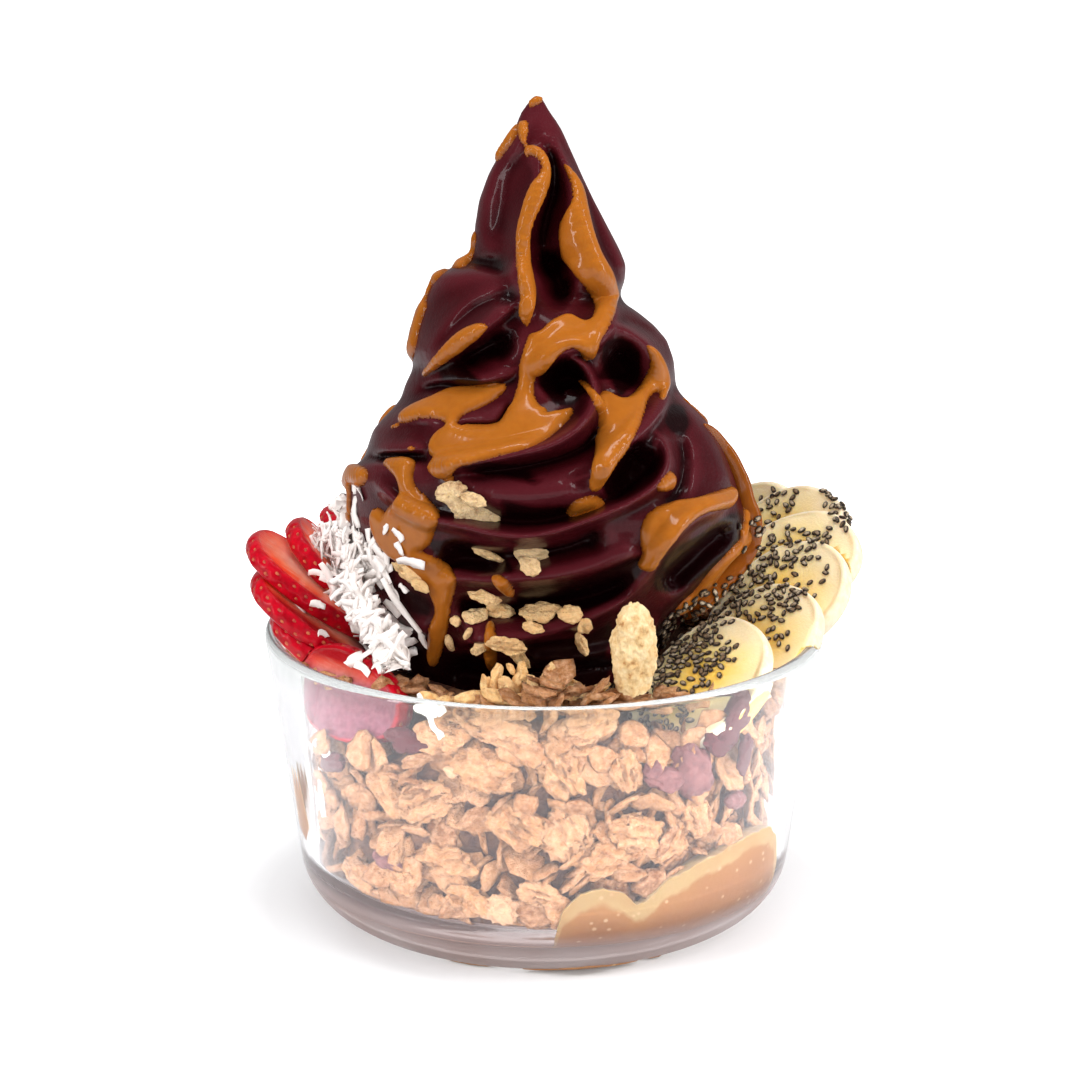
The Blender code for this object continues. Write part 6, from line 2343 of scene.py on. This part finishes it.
# the core that carries the strips: the heap's solid, thinned and narrowed towards its middle line
HEAP_MIDDLE = [(470, 348), (515, 346), (545, 346), (565, 356), (600, 358), (625, 372), (650, 392),
               (700, 402)]
HEAP_THINNED = [(490, 6.0), (505, 4.8), (532, 2.7), (630, 2.4), (655, 5.6)]        # pixel row, mm
HEAP_NARROWED = 0.42
HEAP_BACK = 2.5             # the core stands this much further back than the solid


def heap_core_piece():
    """The core of the heap of coconut."""
    mesh = evaluated(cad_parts["coconut_heap"].data.copy(),
                     ("SUBSURF", {"levels": 2, "render_levels": 2, "subdivision_type": "SIMPLE"}),
                     ("REMESH", {"mode": "VOXEL", "voxel_size": 0.8 * MM}),
                     ("SMOOTH", {"factor": 0.5, "iterations": 3}))
    points = points_of(mesh)
    tri = triangles_of(mesh)
    normal = vertex_normals(points, tri)
    flat, deep = to_pixels(points)
    middle = np.interp(flat[:, 1], *np.array(HEAP_MIDDLE, float).T)
    thinned = np.interp(flat[:, 1], *np.array(HEAP_THINNED, float).T)
    points = points - normal * thinned[:, None]
    points[:, 0] += (middle + (flat[:, 0] - middle) * HEAP_NARROWED - flat[:, 0]) * deep / FOCAL
    points[:, 1] += HEAP_BACK
    for i, p in enumerate(points):
        points[i] += normal[i] * (noise.noise(Vector(p) * 0.55) * 0.9 + noise.noise(Vector(p) * 1.3) * 0.45)
    return mesh_piece("coconut_core", points, tri, coconut, "coconut")


heap_core = heap_core_piece()
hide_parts("coconut_heap")


FRUIT_SCALE = 4.55          # pixels of the photograph to a mm at the fruit, and in front at the glass
GLASS_SCALE = 4.7
BACK_SCALE = 4.15           # where a mm is smaller than this, a pixel's ray went past to the far side
# the heap's strips: closed outline in pixels, how many, least and most length and width in mm, usual
# angle and its spread in degrees, how high they are heaped in mm
TUFTS = [
    ([(310, 536), (318, 526), (332, 520), (345, 532), (360, 531), (368, 550), (350, 566), (328, 562),
      (316, 550)], 110, (3.0, 7.0), (0.5, 1.0), 90, 42, 1.8),
    ([(345, 546), (362, 536), (380, 548), (389, 565), (372, 584), (352, 602), (338, 590),
      (332, 568)], 90, (4.0, 9.5), (0.8, 1.8), 75, 50, 2.6),
    ([(326, 566), (345, 566), (366, 598), (386, 620), (372, 640), (350, 618), (332, 600)], 60, (4.0, 9.0),
      (0.7, 1.6), 60, 50, 2.0),
    ([(352, 598), (376, 602), (404, 626), (410, 638), (398, 649), (376, 648), (360, 632)], 66, (4.0, 9.0),
      (0.9, 2.0), 10, 50, 2.0),
]
# single strips: middle, length and width in pixels, angle down to the right, how far they stand off in mm
STRAYS = [
    (402, 606, 66, 6, 52, 2.2), (413, 561, 30, 10, 2, 1.6), (399, 534, 16, 6, 42, 0.6),
    (400, 549, 15, 7, 62, 0.6), (423, 637, 30, 6.5, 88, 1.0), (376, 650, 24, 6, 68, 0.9),
    (394, 674, 40, 6, 40, 0.8), (300, 608, 28, 6, 88, 0.4), (324, 573, 32, 6.5, 4, 0.5),
    (356, 512, 32, 6.5, 84, 1.0), (357, 532, 40, 7, 82, 1.6), (391, 630, 34, 10, 2, 2.2),
    (409, 641, 22, 9, -20, 1.8), (356, 660, 20, 12, -30, 0.6), (364, 668, 20, 8, 30, 0.6),
    (343, 488, 10, 8, 60, 0.5), (355, 487, 14, 6, 75, 0.5), (362, 494, 14, 7, 60, 0.6),
    (341, 506, 14, 12, 10, 0.5), (378, 560, 30, 13, 8, 2.6), (374, 583, 26, 10, -68, 2.2),
    (386, 570, 30, 8, 50, 2.4), (352, 567, 22, 7, -4, 1.5), (322, 634, 12, 9, -30, 0.4),
    (318, 604, 16, 7, 15, 0.4), (336, 596, 16, 6, 50, 0.4), (331, 585, 24, 6, 70, 0.4),
    (394, 607, 22, 8, 35, 1.2), (400, 660, 22, 8, 25, 1.0), (382, 662, 20, 9, -15, 1.2),
    (411, 652, 20, 9, -35, 1.4), (347, 611, 24, 6, 72, 0.8), (365, 620, 30, 9, 78, 2.6),
    (396, 592, 18, 7, 60, 1.4), (371, 540, 24, 7, 80, 1.5), (404, 588, 12, 5, 40, 0.8),
    (386, 529, 12, 5, -50, 0.5), (366, 649, 20, 7, 50, 1.5), (404, 673, 14, 6, 5, 0.6),
    (424, 690, 16, 7, 12, 0.6),
]
# strips against the inside of the glass
GLASSED = [
    (425, 711, 26, 8, 12), (436, 726, 26, 8, 62), (420, 703, 18, 8, 60), (326, 750, 18, 9, 24),
    (322, 786, 62, 5, 84), (443, 710, 16, 7, -40), (318, 742, 12, 8, -30),
]


def coconut_shreds():
    """Strips over the heap and the fruit beside it, where the photograph shows them."""
    rng = np.random.default_rng(51)
    carrier = tree_of(swirl, drips, heap_core, *berry_pieces)
    spots = []
    ways = []
    normals = []
    length = []
    width = []

    def lay(px, py, long_way, wide, angle, lift, lean):
        hit, normal = landed(carrier, px, py)
        if hit is None or pixels_per_mm(hit) < BACK_SCALE:
            return
        normal = normal - AHEAD * 0.5
        normal = normal / np.linalg.norm(normal)
        turn = axes_at(normal, angle)
        spots.append(hit - AHEAD * lift * 0.6 + normal * lift * 0.4)
        ways.append(turn[:, 0] + normal * lean)
        normals.append(normal)
        length.append(long_way)
        width.append(wide)

    for outline, count, long_way, wide, angle, spread, high in TUFTS:
        outline = np.array(outline, float)
        low, top = outline.min(0), outline.max(0)
        left = count
        while left:
            spot = rng.uniform(low, top)
            if not within(spot[None], outline)[0]:
                continue
            left -= 1
            lay(*spot, rng.uniform(*long_way), rng.uniform(*wide), angle + rng.normal(0, spread),
                0.3 + high * rng.uniform(0, 1)**1.3, rng.normal(0, 0.22))
    for px, py, long_way, wide, angle, lift in STRAYS:
        lay(px, py, long_way / FRUIT_SCALE, wide / FRUIT_SCALE, angle, lift, 0.0)
    for px, py, long_way, wide, angle in GLASSED:
        hit, out = on_glass(px, py)
        spots.append(hit - out * 0.9)
        ways.append(axes_at(out, angle)[:, 0])
        normals.append(out)
        length.append(long_way / GLASS_SCALE)
        width.append(wide / GLASS_SCALE)
    made = shreds(rng, *(np.array(values) for values in (spots, ways, normals, length, width)))
    mesh_piece("coconut_shreds", *joined(*made), coconut, "coconut")


coconut_shreds()

# ---------------------------------------------------------------- oat cluster
CLUSTER_AT = (18.6, -50.5, 73.8)
CLUSTER_HALF = (5.2, 3.2, 10.0)
cluster_mat, tree, shader = new_material("oat_cluster_crumb", Roughness=0.75, Specular_IOR_Level=0.3,
                                         Subsurface_Weight=0.15, Subsurface_Radius=(1.0, 0.7, 0.4),
                                         Subsurface_Scale=0.001)
where = place(tree)
fleck = grain(tree, where, 420.0, 4.0, 0.6)
paint(tree, shader, ramp(tree, fleck, (0.32, (0.38, 0.19, 0.070)), (0.42, (0.66, 0.43, 0.20)),
                         (0.62, (0.80, 0.61, 0.35))))
bumped(tree, shader, grain(tree, where, 800.0, 4.0, 0.65), 0.0006, 0.7)
bm = bmesh.new()
bmesh.ops.create_icosphere(bm, subdivisions=6, radius=1.0)
for vert in bm.verts:
    way = vert.co.normalized()
    lump = noise.noise(way * 2.3 + Vector((4.0, 0, 0))) + 0.5 * noise.noise(way * 5.1)
    reach = Vector([part * half for part, half in zip(way, CLUSTER_HALF)]) * (1 + 0.13 * lump)
    crag = noise.noise(reach * 0.8) * 0.35 + noise.noise(reach * 1.9) * 0.22
    crag -= abs(noise.noise(reach * 0.45)) * 0.5
    vert.co = reach + way * crag
bmesh.ops.recalc_face_normals(bm, faces=bm.faces)
mesh = bpy.data.meshes.new("cluster")
bm.to_mesh(mesh)
bm.free()
turn = turned_to(22, 4, -8)
points = np.array([turn @ v.co + Vector(CLUSTER_AT) for v in mesh.vertices])
cluster = mesh_piece("oat_cluster_shape", points, triangles_of(mesh), cluster_mat, "oat_cluster")
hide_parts("oat_cluster")
NUTS = [(500, 911, 38, 33, -30, 2.4), (452, 772, 18, 12, 20, 1.2)]
nuts = against_glass("nut_pieces", NUTS, granola, "granola", rough=1.6)
put_attribute(nuts.data, "tone", np.full(len(nuts.data.vertices), 1.15))
put_attribute(nuts.data, "rim", np.full(len(nuts.data.vertices), 0.1))

# ---------------------------------------------------------------- sizes
low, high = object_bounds()
